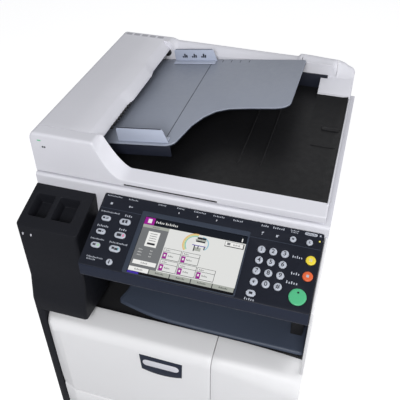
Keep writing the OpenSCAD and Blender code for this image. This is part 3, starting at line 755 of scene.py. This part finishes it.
# dark switch boards under the keys close the view through the key gaps
for name, u0, u1 in (("key_mat", 4, SCREEN_U - 6), ("key_mat_right", SCREEN_U + SCREEN_W + 6, U - 4)):
    panel_piece(name, block((u0, -V + 5, -9.4), (u1, -15, -8.4)), INNER, 0)


def word(u, v, letters, height, step=0):
    """Rectangles that stand for a short printed word: strokes of mixed heights, with no real letters."""
    step = step or height * 0.74
    rects = []
    for i in range(letters):
        tall = 1.0 if i == 0 or i % 3 == 2 else 0.68
        x = u + (i - (letters - 1) / 2) * step
        rects.append((x, v - height * (1 - tall) / 2, step * 0.46, height * tall))
    return rects


def print_on_panel(name, rects, mat=INK_PALE, z=0.12):
    panel_piece(name, blocks(rects, -0.05, z), mat, width=0)


# printed words on the panel: across, down, letters, height and letter pitch
WORDS = {
    "system": (21.8, 4.6, 11, 3, 2.9), "counter": (61.5, 5.2, 7, 3, 2.9),
    "print": (121.3, 4.2, 6, 3.2, 2.8), "send": (159.3, 4.2, 5, 3.2, 3.1),
    "receive": (198.1, 4.4, 8, 3.2, 3), "memory": (236.2, 5.2, 7, 3.2, 3.3),
    "error": (273.8, 6.4, 6, 3.2, 3.2), "help": (325.8, 5.7, 4, 4, 3.7), "logout": (352, 5.8, 6, 4, 3.8),
    "energy": (381.8, 4, 6, 2.4, 2.7), "saver": (381.8, 7.6, 5, 2.4, 2.7),
    "status": (25, 40.9, 15, 3, 2.6), "copy": (63.4, 41.6, 4, 4.4, 4), "program": (20.4, 72.3, 7, 4, 3.4),
    "sending": (62.1, 72, 4, 4.4, 4.2), "application": (19.6, 101, 11, 3, 2.6),
    "box": (63.3, 101.5, 12, 3.4, 3.1), "accessibility": (28, 138.6, 13, 3, 2.6),
    "display": (22, 143.4, 7, 3, 2.6), "reset": (396.1, 55.6, 5, 4.8, 3.9),
    "stop": (398.2, 87.9, 4, 4.8, 4.2), "start": (395.5, 106.1, 5, 5.2, 4.4),
    "clear": (328.9, 152.8, 5, 4.4, 3.8),
}
words = []
for u, v, letters, height, pitch in WORDS.values():
    words += word(u, -v, letters, height, pitch)
print_on_panel("panel_words", words)
# printed symbols: centre across and up, width and height
marks = [(20.6, -21.5, 4.5, 4.5), (59, -21.3, 3, 3.6), (63.4, -21.3, 3, 2), (323.9, -20.5, 1.6, 3.4),
         (323.9, -24.2, 1.6, 1.4), (325.6, -19.4, 1.6, 2.2), (351.7, -22, 3.2, 4.6),
         (354.6, -20.6, 1.4, 1.6), (429.4, -5.1, 3.2, 3.2)]
print_on_panel("panel_marks", marks)
print_on_panel("panel_lamps_unlit", [(u, -14.3, 1.6, 3) for u in (158.5, 196, 234)], INK_GREY)
label = prism(rounded(23, 5.6, 2.6, (412.4, -5.3)), "z", -0.05, 0.12)
panel_piece("panel_power_label", label, INK_PALE, width=0)
print_on_panel("panel_power_word", word(412.4, -5.3, 7, 2.8, 2.7), INK_DARK, 0.16)
lamp = prism(rounded(3, 3, 1.4, (429.6, -16.4)), "z", -0.5, 0.6)
panel_piece("panel_power_lamp", lamp, lit("lamp_yellow", (246, 236, 120), 1.0), 0)

# symbols on the function keys: strips and dots, each riding on its key
SYMBOLS = {
    "key_status": ((-4, 0, 4.2, 4), (2.6, 1.2, 5.5, 1.2), (2.6, -1.2, 5.5, 1.2)),
    "key_program": ((-2, 0, 7, 4), (4.2, 0, 2.2, 2.2)),
    "key_application": ((-2.4, 0, 6, 3.6),),
    "key_copy": ((-3.4, -0.4, 4.4, 6), (2.8, 0.4, 4.4, 6)),
    "key_send": ((-1.8, 0, 9, 6),),
    "key_document_box": ((-3.6, 0.6, 5, 4.4), (3, -0.6, 6.6, 4.4)),
    "key_accessibility": ((0, -1.2, 2.2, 5), (0, 2.8, 2, 2)),
    "key_clear": ((0, 0, 6.4, 4.4),),
    "key_energy": ((0, 0, 4, 3),),
    "key_power": ((0, 0.6, 1.2, 3.6), (0, -2, 4, 1)),
    "key_reset": ((-1.6, 0, 1.3, 6), (1.6, 0, 1.3, 6)),
    "key_stop": ((0, 0, 4.6, 4.6),),
    "key_start": ((0, 7.6, 3.4, 3.4),),
}
SYMBOL_INK = {"key_reset": INK_GREY, "key_stop": INK_PALE, "key_start": PANEL}
ACCENTS = {"key_send": (206, 120, 150), "key_application": (150, 190, 150),
           "key_document_box": (110, 168, 178)}
for node, rects in SYMBOLS.items():
    u, v, w = panel_uv(node)
    symbol = blocks([(u + x, v + y, a, b) for x, y, a, b in rects], 1.9, 2.14)
    panel_piece(node + "_symbol", symbol, SYMBOL_INK.get(node, INK_DARK), 0, node + "_cap")
    if node in ACCENTS:
        dot = blocks([(u + w * 0.3, v, 3.4, 5)], 1.8, 2.13)
        accent = plastic(node + "_accent", ACCENTS[node], 0.4, bump=0.02)
        panel_piece(node + "_dot", dot, accent, 0, node + "_cap")

# -------------------- touch screen

LCD_U, LCD_V = SCREEN_U + 0.5, -SCREEN_V - 0.5
LCD_W, LCD_H = SCREEN_W - 1, SCREEN_H - 1
LCD_Z, LAYER = -1.6, 0.06                # the display's face, and the step from layer to layer
screen_body = block((SCREEN_U - 2, -SCREEN_V - SCREEN_H - 1, -14),
                    (SCREEN_U + SCREEN_W + 2, -SCREEN_V + 2, -3.2))
panel_piece("screen_module", screen_body, INNER)
panel_piece("screen_back", block((LCD_U, LCD_V - LCD_H, -3.2), (LCD_U + LCD_W, LCD_V, LCD_Z)),
            lit("lcd_black", (14, 15, 18), 0.5), 0.3, replaces=["touch_screen"])
PALE = lit("lcd_pale", (236, 237, 235))
HEADER = lit("lcd_header", (8, 16, 26))
MAGENTA = lit("lcd_magenta", (160, 26, 150))
SIDE_GREY = lit("lcd_side_grey", (120, 122, 124))
TAB = lit("lcd_tab", (176, 180, 172))
PAPER = lit("lcd_white", (248, 248, 246))
DARK = lit("lcd_dark", (40, 42, 46))
VIOLET = lit("lcd_violet", (70, 50, 170))


def lcd_piece(name, bm, mat):
    panel_piece("lcd_" + name, bm, mat, 0)


def patch(name, x0, y0, x1, y1, mat, level):
    """A rectangle on the display; x and y run from 0 to 1, right and down."""
    z = LCD_Z + LAYER * level
    lo = (LCD_U + x0 * LCD_W, LCD_V - y1 * LCD_H, z - LAYER)
    hi = (LCD_U + x1 * LCD_W, LCD_V - y0 * LCD_H, z)
    lcd_piece(name, block(lo, hi), mat)


patch("main", 0, 0.13, 1, 0.96, PALE, 1)
patch("header", 0, 0, 1, 0.13, HEADER, 1)
patch("mode_icon", 0, 0, 0.1, 0.13, MAGENTA, 2)
patch("mode_page", 0.034, 0.025, 0.072, 0.1, PAPER, 3)
patch("header_count", 0.955, 0.05, 0.965, 0.11, PAPER, 2)
patch("sidebar", 0.0, 0.13, 0.262, 0.89, SIDE_GREY, 2)
patch("side_title", 0.0, 0.135, 0.262, 0.185, TAB, 3)
patch("side_page", 0.075, 0.24, 0.19, 0.51, PAPER, 3)
for i in range(4):
    patch(f"page_line_{i}", 0.098, 0.275 + 0.04 * i, 0.168, 0.285 + 0.04 * i, SIDE_GREY, 4)
patch("page_bars", 0.095, 0.44, 0.172, 0.475, DARK, 4)
patch("side_button", 0.02, 0.765, 0.245, 0.835, PAPER, 3)
patch("shortcut", 0.81, 0.145, 0.99, 0.235, DARK, 2)
patch("shortcut_face", 0.813, 0.15, 0.98, 0.222, PAPER, 3)
patch("shortcut_mark", 0.83, 0.165, 0.86, 0.205, SIDE_GREY, 4)
CELL_W, CELL_H, CELL_X, CELL_Y = 0.178, 0.205, 0.272, 0.47
CELLS = {f"{row}{i}": (CELL_X + CELL_W * i, CELL_Y + CELL_H * row)
         for row, i in ((0, 0), (0, 1), (1, 0), (1, 1), (1, 2))}
for cell, (x, y) in CELLS.items():
    x1, y1 = x + CELL_W - 0.008, y + CELL_H - 0.012
    patch(f"cell_frame_{cell}", x, y, x1, y1, DARK, 2)
    patch(f"cell_{cell}", x + 0.003, y + 0.006, x1 - 0.004, y1 - 0.008, PALE, 3)
    patch(f"cell_rule_{cell}", x, y + 0.062, x1 - 0.004, y + 0.068, DARK, 4)
    patch(f"cell_icon_{cell}", x + 0.005, y + 0.078, x + 0.042, y + 0.182, MAGENTA, 4)
    patch(f"cell_glyph_{cell}", x + 0.016, y + 0.108, x + 0.03, y + 0.145, PAPER, 5)
for i in range(5):
    patch(f"tab_frame_{i}", 0.2 * i, 0.885, 0.2 * (i + 1), 0.965, DARK, 3)
    patch(f"tab_{i}", 0.2 * i + 0.003, 0.885, 0.2 * i + 0.195, 0.958, PAPER if i == 0 else TAB, 4)
patch("foot", 0.0, 0.965, 1.0, 1.0, lit("lcd_foot", (4, 4, 6), 0.4), 2)
patch("foot_left", 0.0, 0.965, 0.11, 1.0, VIOLET, 3)


def screen_words(name, entries, mat, level):
    """Strokes in place of words; each entry is (x, y, letters, height), x and y from 0 to 1."""
    rects = []
    for x, y, letters, height in entries:
        rects += word(LCD_U + x * LCD_W, LCD_V - y * LCD_H, letters, height)
    z = LCD_Z + LAYER * level
    lcd_piece(name, blocks(rects, z - LAYER, z), mat)


screen_words("header_words", [(0.155, 0.06, 5, 4.8), (0.225, 0.06, 2, 4.8), (0.29, 0.06, 5, 4.8)], PAPER, 2)
screen_words("side_words", [(0.055, 0.575 + 0.05 * i, 5, 2.2) for i in range(3)] +
             [(0.16, 0.575 + 0.05 * i, 3, 2.2) for i in range(3)], PALE, 3)
screen_words("button_words", [(0.13, 0.8, 6, 3), (0.92, 0.187, 6, 3), (0.132, 0.16, 8, 2.4)] +
             [(0.1 + 0.2 * i, 0.92, 7, 3.2) for i in range(5)], DARK, 5)
screen_words("cell_words", [(x + 0.04, y + 0.035, 5, 2.6) for x, y in CELLS.values()] +
             [(x + 0.08, y + 0.125, 5, 3) for x, y in CELLS.values()], DARK, 5)

# picture of a machine with coloured arcs round it
pic_u, pic_v = LCD_U + 0.575 * LCD_W, LCD_V - 0.3 * LCD_H
for i, rgb in enumerate(((240, 190, 110), (214, 214, 120), (140, 204, 190))):
    r = 23 - 2.4 * i
    ring = arc(pic_u - 8, pic_v - 2, r, 80, 222, 18) + arc(pic_u - 8, pic_v - 2, r - 1.9, 222, 80, 18)
    lcd_piece(f"ring_{i}", prism(ring, "z", -1.5, -1.42), lit(f"lcd_ring_{i}", rgb))
halo = arc(pic_u + 4, pic_v + 2, 15, -50, 90, 12) + arc(pic_u + 4, pic_v + 2, 13, 90, -50, 12)
lcd_piece("halo", prism(halo, "z", -1.5, -1.42), lit("lcd_halo", (150, 200, 220)))
machine = ((3, 13, 17, 4, DARK), (2, 9.4, 21, 2.6, TAB), (2, 6.4, 18, 3, DARK), (1, 1.4, 18, 6, PAPER),
           (1, -2.4, 26, 1.4, VIOLET), (0, -6, 2, 6, DARK), (12, -6, 2, 6, DARK), (-7, -9, 2, 12, DARK),
           (0, -10, 12, 7, TAB))
for i, (x, y, w, h, mat) in enumerate(machine):
    lcd_piece(f"machine_{i}", blocks([(pic_u + x, pic_v + y, w, h)], -1.5, -1.38), mat)

# -------------------- front covers

door_lo, door_hi = mm_box("front_cover")
fixed_lo, fixed_hi = mm_box("right_front_cover")
FRONT, COVER_Z = door_lo.y, door_lo.z
LEDGE_Y, LEDGE = door_hi.y, door_hi.z
CHAMFER = 36                             # width of the slanted left edge of the fronts
CHAMFER_IN = 16                          # how far that edge runs back


def left_chamfer(x, width=CHAMFER):
    """How far the front stands back at x, because its left edge is slanted."""
    return CHAMFER_IN * max(0, 1 - (x - door_lo.x) / width)


def cover_profile(x):
    """Loop in Y and Z through the front covers: face, big soft shoulder and a ledge that runs back."""
    right = max(0, min(1, (x - 130) / 165))
    top = LEDGE - 12 * right * right - 0.15 * left_chamfer(x)
    a, b = 24 + 14 * right, 30 + 26 * right
    face = [(4, COVER_Z), (2.2, COVER_Z + 2), (0.8, COVER_Z + 30), (0, COVER_Z + 110)]
    for i in range(9):
        t = math.radians(90 * i / 8)
        face.append((a * (1 - math.cos(t)), top - 8 - b * (1 - math.sin(t))))
    loop = [(-276, COVER_Z)]
    for inset, z in face:
        width = 6 + (CHAMFER - 6) * max(0, min(1, (LEDGE - z) / 90))
        loop.append((FRONT + inset + left_chamfer(x, width), z))
    loop += [(LEDGE_Y - 12, top - 1.2), (LEDGE_Y - 1.2, top), (LEDGE_Y, top - 1), (LEDGE_Y, top - 3.5),
             (-268, top - 13), (-274, top - 30)]
    return [(x, y, z) for y, z in loop]


def front_stations(x0, x1):
    """Places along a front, close together where its left edge slants."""
    edge = [x for x in (0, 3, 6, 12, 18, 24, 30, 36, 37) if x0 < door_lo.x + 1]
    return [x0 + x for x in edge] + stations(x0 + 44 if edge else x0, x1, 16)


def front_piece(name, x0, x1, node, body, cuts=()):
    solid = loft([cover_profile(x) for x in front_stations(x0, x1)])
    piece(name, solid, WHITE, body, 0.6, [node], cuts, 2, angle=40)


# notches for the door's hinge ears
ears = [block((x - 5, FRONT + 3, COVER_Z - 1), (x + 5, -270, COVER_Z + 14)) for x in (-240, 60)]
front_piece("front_cover_shell", door_lo.x, door_hi.x, "front_cover", "front_door", ears)
front_piece("right_front_shell", fixed_lo.x, fixed_hi.x, "right_front_cover", "chassis")

# blank badge plate on the front cover
badge_top, badge_foot = LEDGE - 43, LEDGE - 96
badge = [(-51, badge_top + 1), (48, badge_top - 1), (46, badge_foot + 2)]
badge += arc(-2, badge_foot + 124, 130, -69, -111, 10) + [(-48, badge_foot + 2)]
piece("badge_plate", prism(badge, "y", FRONT - 1, FRONT + 1.2), LIP, "front_door", 0.5)
oval = rounded(84, 20, 9.8, (-2, (badge_top + badge_foot) / 2 + 3))
piece("badge_oval", prism(oval, "y", FRONT - 1.6, FRONT - 0.5), GREY, "front_door", 0.3)

# -------------------- drawers


def drawer(node, body):
    """Paper drawer: slanted front with a hand recess, a tub, lift plate, paper guides and side rails."""
    lo, hi = mm_box(node)
    z0, z1, face = lo.z, hi.z, lo.y
    rows = []
    for x in front_stations(lo.x, hi.x):
        y = face + left_chamfer(x) * 0.9
        loop = [(-278, z0), (y + 3, z0), (y, z0 + 3), (y, z1 - 4), (y + 1.2, z1 - 1.2), (y + 4, z1)]
        loop.append((-278, z1))
        rows.append([(x, a, b) for a, b in loop])
    grip = [(face - 2, z0 - 1)]
    for t in range(7):
        a = math.radians(90 * t / 6)
        grip.append((face - 2 + 13 * math.sin(a), z0 - 1 + 30 * math.cos(a)))
    recess = prism(grip, "x", -92, 112)
    piece(node + "_front", loft(rows), WHITE, body, 0.7, [node], [recess], 2)
    tub = block((-255, -277.5, z0 + 6), (255, 200, z0 + 66))
    inner = block((-252, -274.5, z0 + 9), (252, 197, z0 + 68))
    piece(node + "_tub", tub, TUB, body, cuts=[inner])
    slabs(body, STEEL, [
        (node + "_lift_plate", (-150, -215, z0 + 10.5), (215, 110, z0 + 12.2), 0.4)])
    slabs(body, INNER, [
        (node + "_guide_0", (-60, -222, z0 + 9.5), (60, -218, z0 + 50), 1),
        (node + "_guide_1", (-60, 118, z0 + 9.5), (60, 122, z0 + 50), 1),
        (node + "_end_guide", (-166, -82, z0 + 9.5), (-160, -22, z0 + 46), 1)])
    slabs(body, STEEL, [
        (f"{node}_rail_{i}", (x, -270, z0 + 22), (x + 1, 196, z0 + 34), 0.3)
        for i, x in enumerate((-255.6, 254.6))])


drawer("cassette_upper", "upper_drawer")
drawer("cassette_lower", "lower_drawer")

# -------------------- side unit and its column

unit_lo, unit_hi = mm_box("side_unit")
UNIT_Z, UNIT_FRONT = LEDGE + 7, unit_lo.y
UNIT_TOP = (725, 755)                    # front and rear height
UNIT_FLARE = 13                          # how far the front comes forward near the foot
UNIT_TAPER = 5                           # the right side leans in by this much towards the foot


def unit_section(t):
    """Level of the side unit at t, 0 at its foot and 1 at its sloping top."""
    x1 = unit_hi.x - UNIT_TAPER * (1 - t)
    front = UNIT_FRONT - UNIT_FLARE * max(0, min(1, (0.4 - t) / 0.26))
    rear, r = SCAN_FRONT - 0.2, 9
    loop = [(x1, rear), (unit_lo.x, rear)]
    loop += arc(unit_lo.x + r, front + r, r, 180, 270, 7) + arc(x1 - 7, front + 7, 7, 270, 360, 6)
    out = []
    for x, y in loop:
        top = UNIT_TOP[0] + (UNIT_TOP[1] - UNIT_TOP[0]) * (y - UNIT_FRONT) / (rear - UNIT_FRONT)
        foot = UNIT_Z + 11 * max(0, (-255 - y) / 35)
        out.append((x, y, foot + t * (top - foot)))
    return out


def clip_pocket(x0, x1):
    """Cutter for a tray sunk in the side unit's top, narrower at its floor."""
    lean = math.atan2(UNIT_TOP[1] - UNIT_TOP[0], SCAN_FRONT - UNIT_FRONT)
    w = x1 - x0
    levels = [[(x, y, z) for x, y in rounded(w - 0.25 * (6 - z), 56 - 0.3 * (6 - z), 4)] for z in (6, -27)]
    bm = loft(levels)
    turn = Matrix.Translation(((x0 + x1) / 2, -224, 739.5)) @ Matrix.Rotation(lean, 4, "X")
    bmesh.ops.transform(bm, matrix=turn, verts=bm.verts)
    return bm


unit_levels = [unit_section(t) for t in (0, 0.07, 0.14, 0.2, 0.27, 0.34, 0.4, 0.6, 1)]
piece("side_unit_body", loft(unit_levels), BLACK, "chassis", 3, ["side_unit"],
      [clip_pocket(-288, -245), clip_pocket(-236, -190)], angle=40)
for i, x in enumerate((-289, -271)):
    mark = [(x, 702), (x + 2.4, 701), (x + 4.6, 707), (x + 1.6, 708.5)]
    piece(f"side_unit_mark_{i}", prism(mark, "y", UNIT_FRONT - 0.3, UNIT_FRONT + 1), INK_GREY, "chassis",
          0.1)
column_y = UNIT_FRONT - 9
column = [(column_y, unit_lo.z), (-250, unit_lo.z), (-250, UNIT_Z + 8), (column_y, UNIT_Z + 14)]
piece("side_unit_column", prism(column, "x", unit_lo.x, door_lo.x - 2), BLACK, "chassis", 2.5)

# -------------------- right cover

side = [(-268, 30), (REAR - 3, 30), (REAR - 3, body_lo.z), (SCAN_FRONT, body_lo.z),
        (SCAN_FRONT, UNIT_Z - 1), (LEDGE_Y + 2, UNIT_Z - 1), (LEDGE_Y + 2, LEDGE - 13), (-268, LEDGE - 13)]
hatch_lo, hatch_hi = mm_box("side_door")
hatch = block((HALF_W - 12, hatch_lo.y - 1.5, hatch_lo.z - 2),
              (HALF_W + 1, hatch_hi.y + 1.5, hatch_hi.z + 2))
piece("right_cover_shell", prism(side, "x", HALF_W - 3, HALF_W), WHITE, "chassis", 0.8,
      ["right_cover"], [hatch])
wing = [(SCAN_FRONT - 0.2, UNIT_Z - 2), (-284, UNIT_Z - 2), (-290, UNIT_Z + 8), (-314, 684), (-316, 704),
        (SCAN_FRONT - 0.2, PANEL_ORIGIN.z - 8)]
piece("right_cover_wing", prism(wing, "x", HALF_W - 6, HALF_W), WHITE, "chassis", 2)

# -------------------- output bay

bay_lo, bay_hi = mm_box("exit_tray")
BAY_Y, BAY_Z, BAY_REAR = bay_lo.y, bay_lo.z, bay_hi.y
BAY_TOP = body_lo.z - 4
WALL_X, WALL_Y = 172, -133               # corner where the bay's side wall meets the fuser's front wall
piece("bay_floor", block((bay_lo.x + 1, BAY_Y, BAY_Z), (bay_hi.x, BAY_REAR, BAY_Z + 4)), INNER, "chassis",
      1, ["exit_tray"])
plateau = [(HALF_W - 7, BAY_Y + 3), (150, BAY_Y + 3), (60, BAY_Y + 3.5), (0, BAY_Y + 5), (-38, BAY_Y + 8)]
plateau += [(-72, BAY_Y + 14), (-104, BAY_Y + 23), (-132, BAY_Y + 31), (-138, BAY_Y + 38)]
plateau += [(-130, BAY_Y + 70), (-116, 120), (170, 160), (170, -136), (HALF_W - 7, -136)]
rest = to_object("bay_sheet_rest", prism(plateau, "z", BAY_Z + 3, LEDGE + 2), NAVY)
bevel(rest, 7, 5, 40)
for vertex in rest.data.vertices:
    # its top sinks towards the left end
    low = max(0, min(1, (-20 - vertex.co.x * 1000) / 140))
    vertex.co.z -= 0.011 * low * low if vertex.co.z > (BAY_Z + 8) / 1000 else 0
finish(rest, "chassis")
slabs("chassis", INNER, [
    ("bay_rear_wall", (bay_lo.x + 28, BAY_REAR - 3, BAY_Z), (WALL_X + 3, BAY_REAR, BAY_TOP), 0.8)])
exit_slot = block((WALL_X - 1, -60, 584), (WALL_X + 4, 240, 600))
piece("bay_exit_wall", block((WALL_X, WALL_Y, BAY_Z), (WALL_X + 3, BAY_REAR, BAY_TOP)), INNER, "chassis",
      0.8, (), [exit_slot])
slabs("chassis", INNER, [
    ("bay_fuser_wall", (WALL_X, WALL_Y, BAY_Z), (264, WALL_Y + 3, BAY_TOP), 0.8),
    ("bay_post_cover", (258, -186, BAY_Z + 2), (284, WALL_Y + 3, BAY_TOP), 2),
    ("bay_left_wall", (-266.5, SCAN_FRONT + 6, BAY_Z), (-263.5, BAY_REAR, BAY_TOP), 0.8)])

# -------------------- floor, light and camera

floor_mat, floor_tree, floor_bsdf = node_material("pale_floor")
shade_mix(floor_tree, floor_bsdf, srgb(176, 176, 178), texture(floor_tree, 40.0, 4.0), 0.01)
put(floor_bsdf, {"Roughness": 0.8, "Emission Color": (1, 1, 1, 1)})
floor_path = floor_tree.nodes.new("ShaderNodeLightPath")
glow = floor_tree.nodes.new("ShaderNodeMath")
glow.operation = "MULTIPLY"
glow.inputs[1].default_value = 0.75
floor_tree.links.new(floor_path.outputs["Is Camera Ray"], glow.inputs[0])
floor_tree.links.new(glow.outputs["Value"], floor_bsdf.inputs["Emission Strength"])
floor_bm = bmesh.new()
bmesh.ops.create_grid(floor_bm, x_segments=1, y_segments=1, size=14000)
to_object("studio_floor", floor_bm, floor_mat)


def studio_world(seen, given):
    """White backdrop for the camera; a dimmer white for the light it gives."""
    world = bpy.data.worlds.new("studio")
    bpy.context.scene.world = world
    world.use_nodes = True
    tree = world.node_tree
    backdrop = tree.nodes["Background"]
    put(backdrop, {"Color": (1, 1, 1, 1), "Strength": seen})
    ambient = tree.nodes.new("ShaderNodeBackground")
    put(ambient, {"Color": (0.97, 0.98, 1, 1), "Strength": given})
    path = tree.nodes.new("ShaderNodeLightPath")
    mix = tree.nodes.new("ShaderNodeMixShader")
    tree.links.new(path.outputs["Is Camera Ray"], mix.inputs["Fac"])
    tree.links.new(ambient.outputs["Background"], mix.inputs[1])
    tree.links.new(backdrop.outputs["Background"], mix.inputs[2])
    tree.links.new(mix.outputs["Shader"], tree.nodes["World Output"].inputs["Surface"])


def softbox(name, at, look, size, power):
    """Round area lamp at a place, in metres, turned towards look."""
    lamp = bpy.data.lights.new(name, "AREA")
    lamp.shape = "DISK"
    lamp.size = size
    lamp.energy = power
    obj = add(name, lamp)
    obj.location = at
    obj.rotation_mode = "QUATERNION"
    obj.rotation_quaternion = (Vector(look) - Vector(at)).to_track_quat("-Z", "Y")


studio_world(1.0, 0.38)
softbox("key_light", (0.3, -2.8, 2.4), (0, 0, 0.5), 1.5, 72)
softbox("right_light", (3.0, -0.5, 1.7), (0, 0, 0.7), 2.0, 44)
softbox("left_light", (-2.9, -1.5, 1.7), (0, 0, 0.6), 2.0, 4)
softbox("rear_light", (-0.6, 2.6, 2.4), (0, 0, 0.7), 1.6, 6)

EYE = Vector((0.2984, -0.97815, 1.4953))
YAW, PITCH, ROLL = 0.2965, 0.6988, -0.0077
camera = bpy.data.cameras.new("photo_view")
camera.lens = 51.88
eye = add("photo_view", camera)
aim = Vector((-math.sin(YAW) * math.cos(PITCH), math.cos(YAW) * math.cos(PITCH), -math.sin(PITCH)))
right = Vector((math.cos(YAW), math.sin(YAW), 0))
up = right.cross(aim)
rolled_right = right * math.cos(ROLL) + up * math.sin(ROLL)
rolled_up = up * math.cos(ROLL) - right * math.sin(ROLL)
eye.matrix_world = Matrix.Translation(EYE) @ Matrix((rolled_right, rolled_up, -aim)).transposed().to_4x4()
bpy.context.scene.camera = eye
bpy.context.scene.view_settings.view_transform = "Standard"
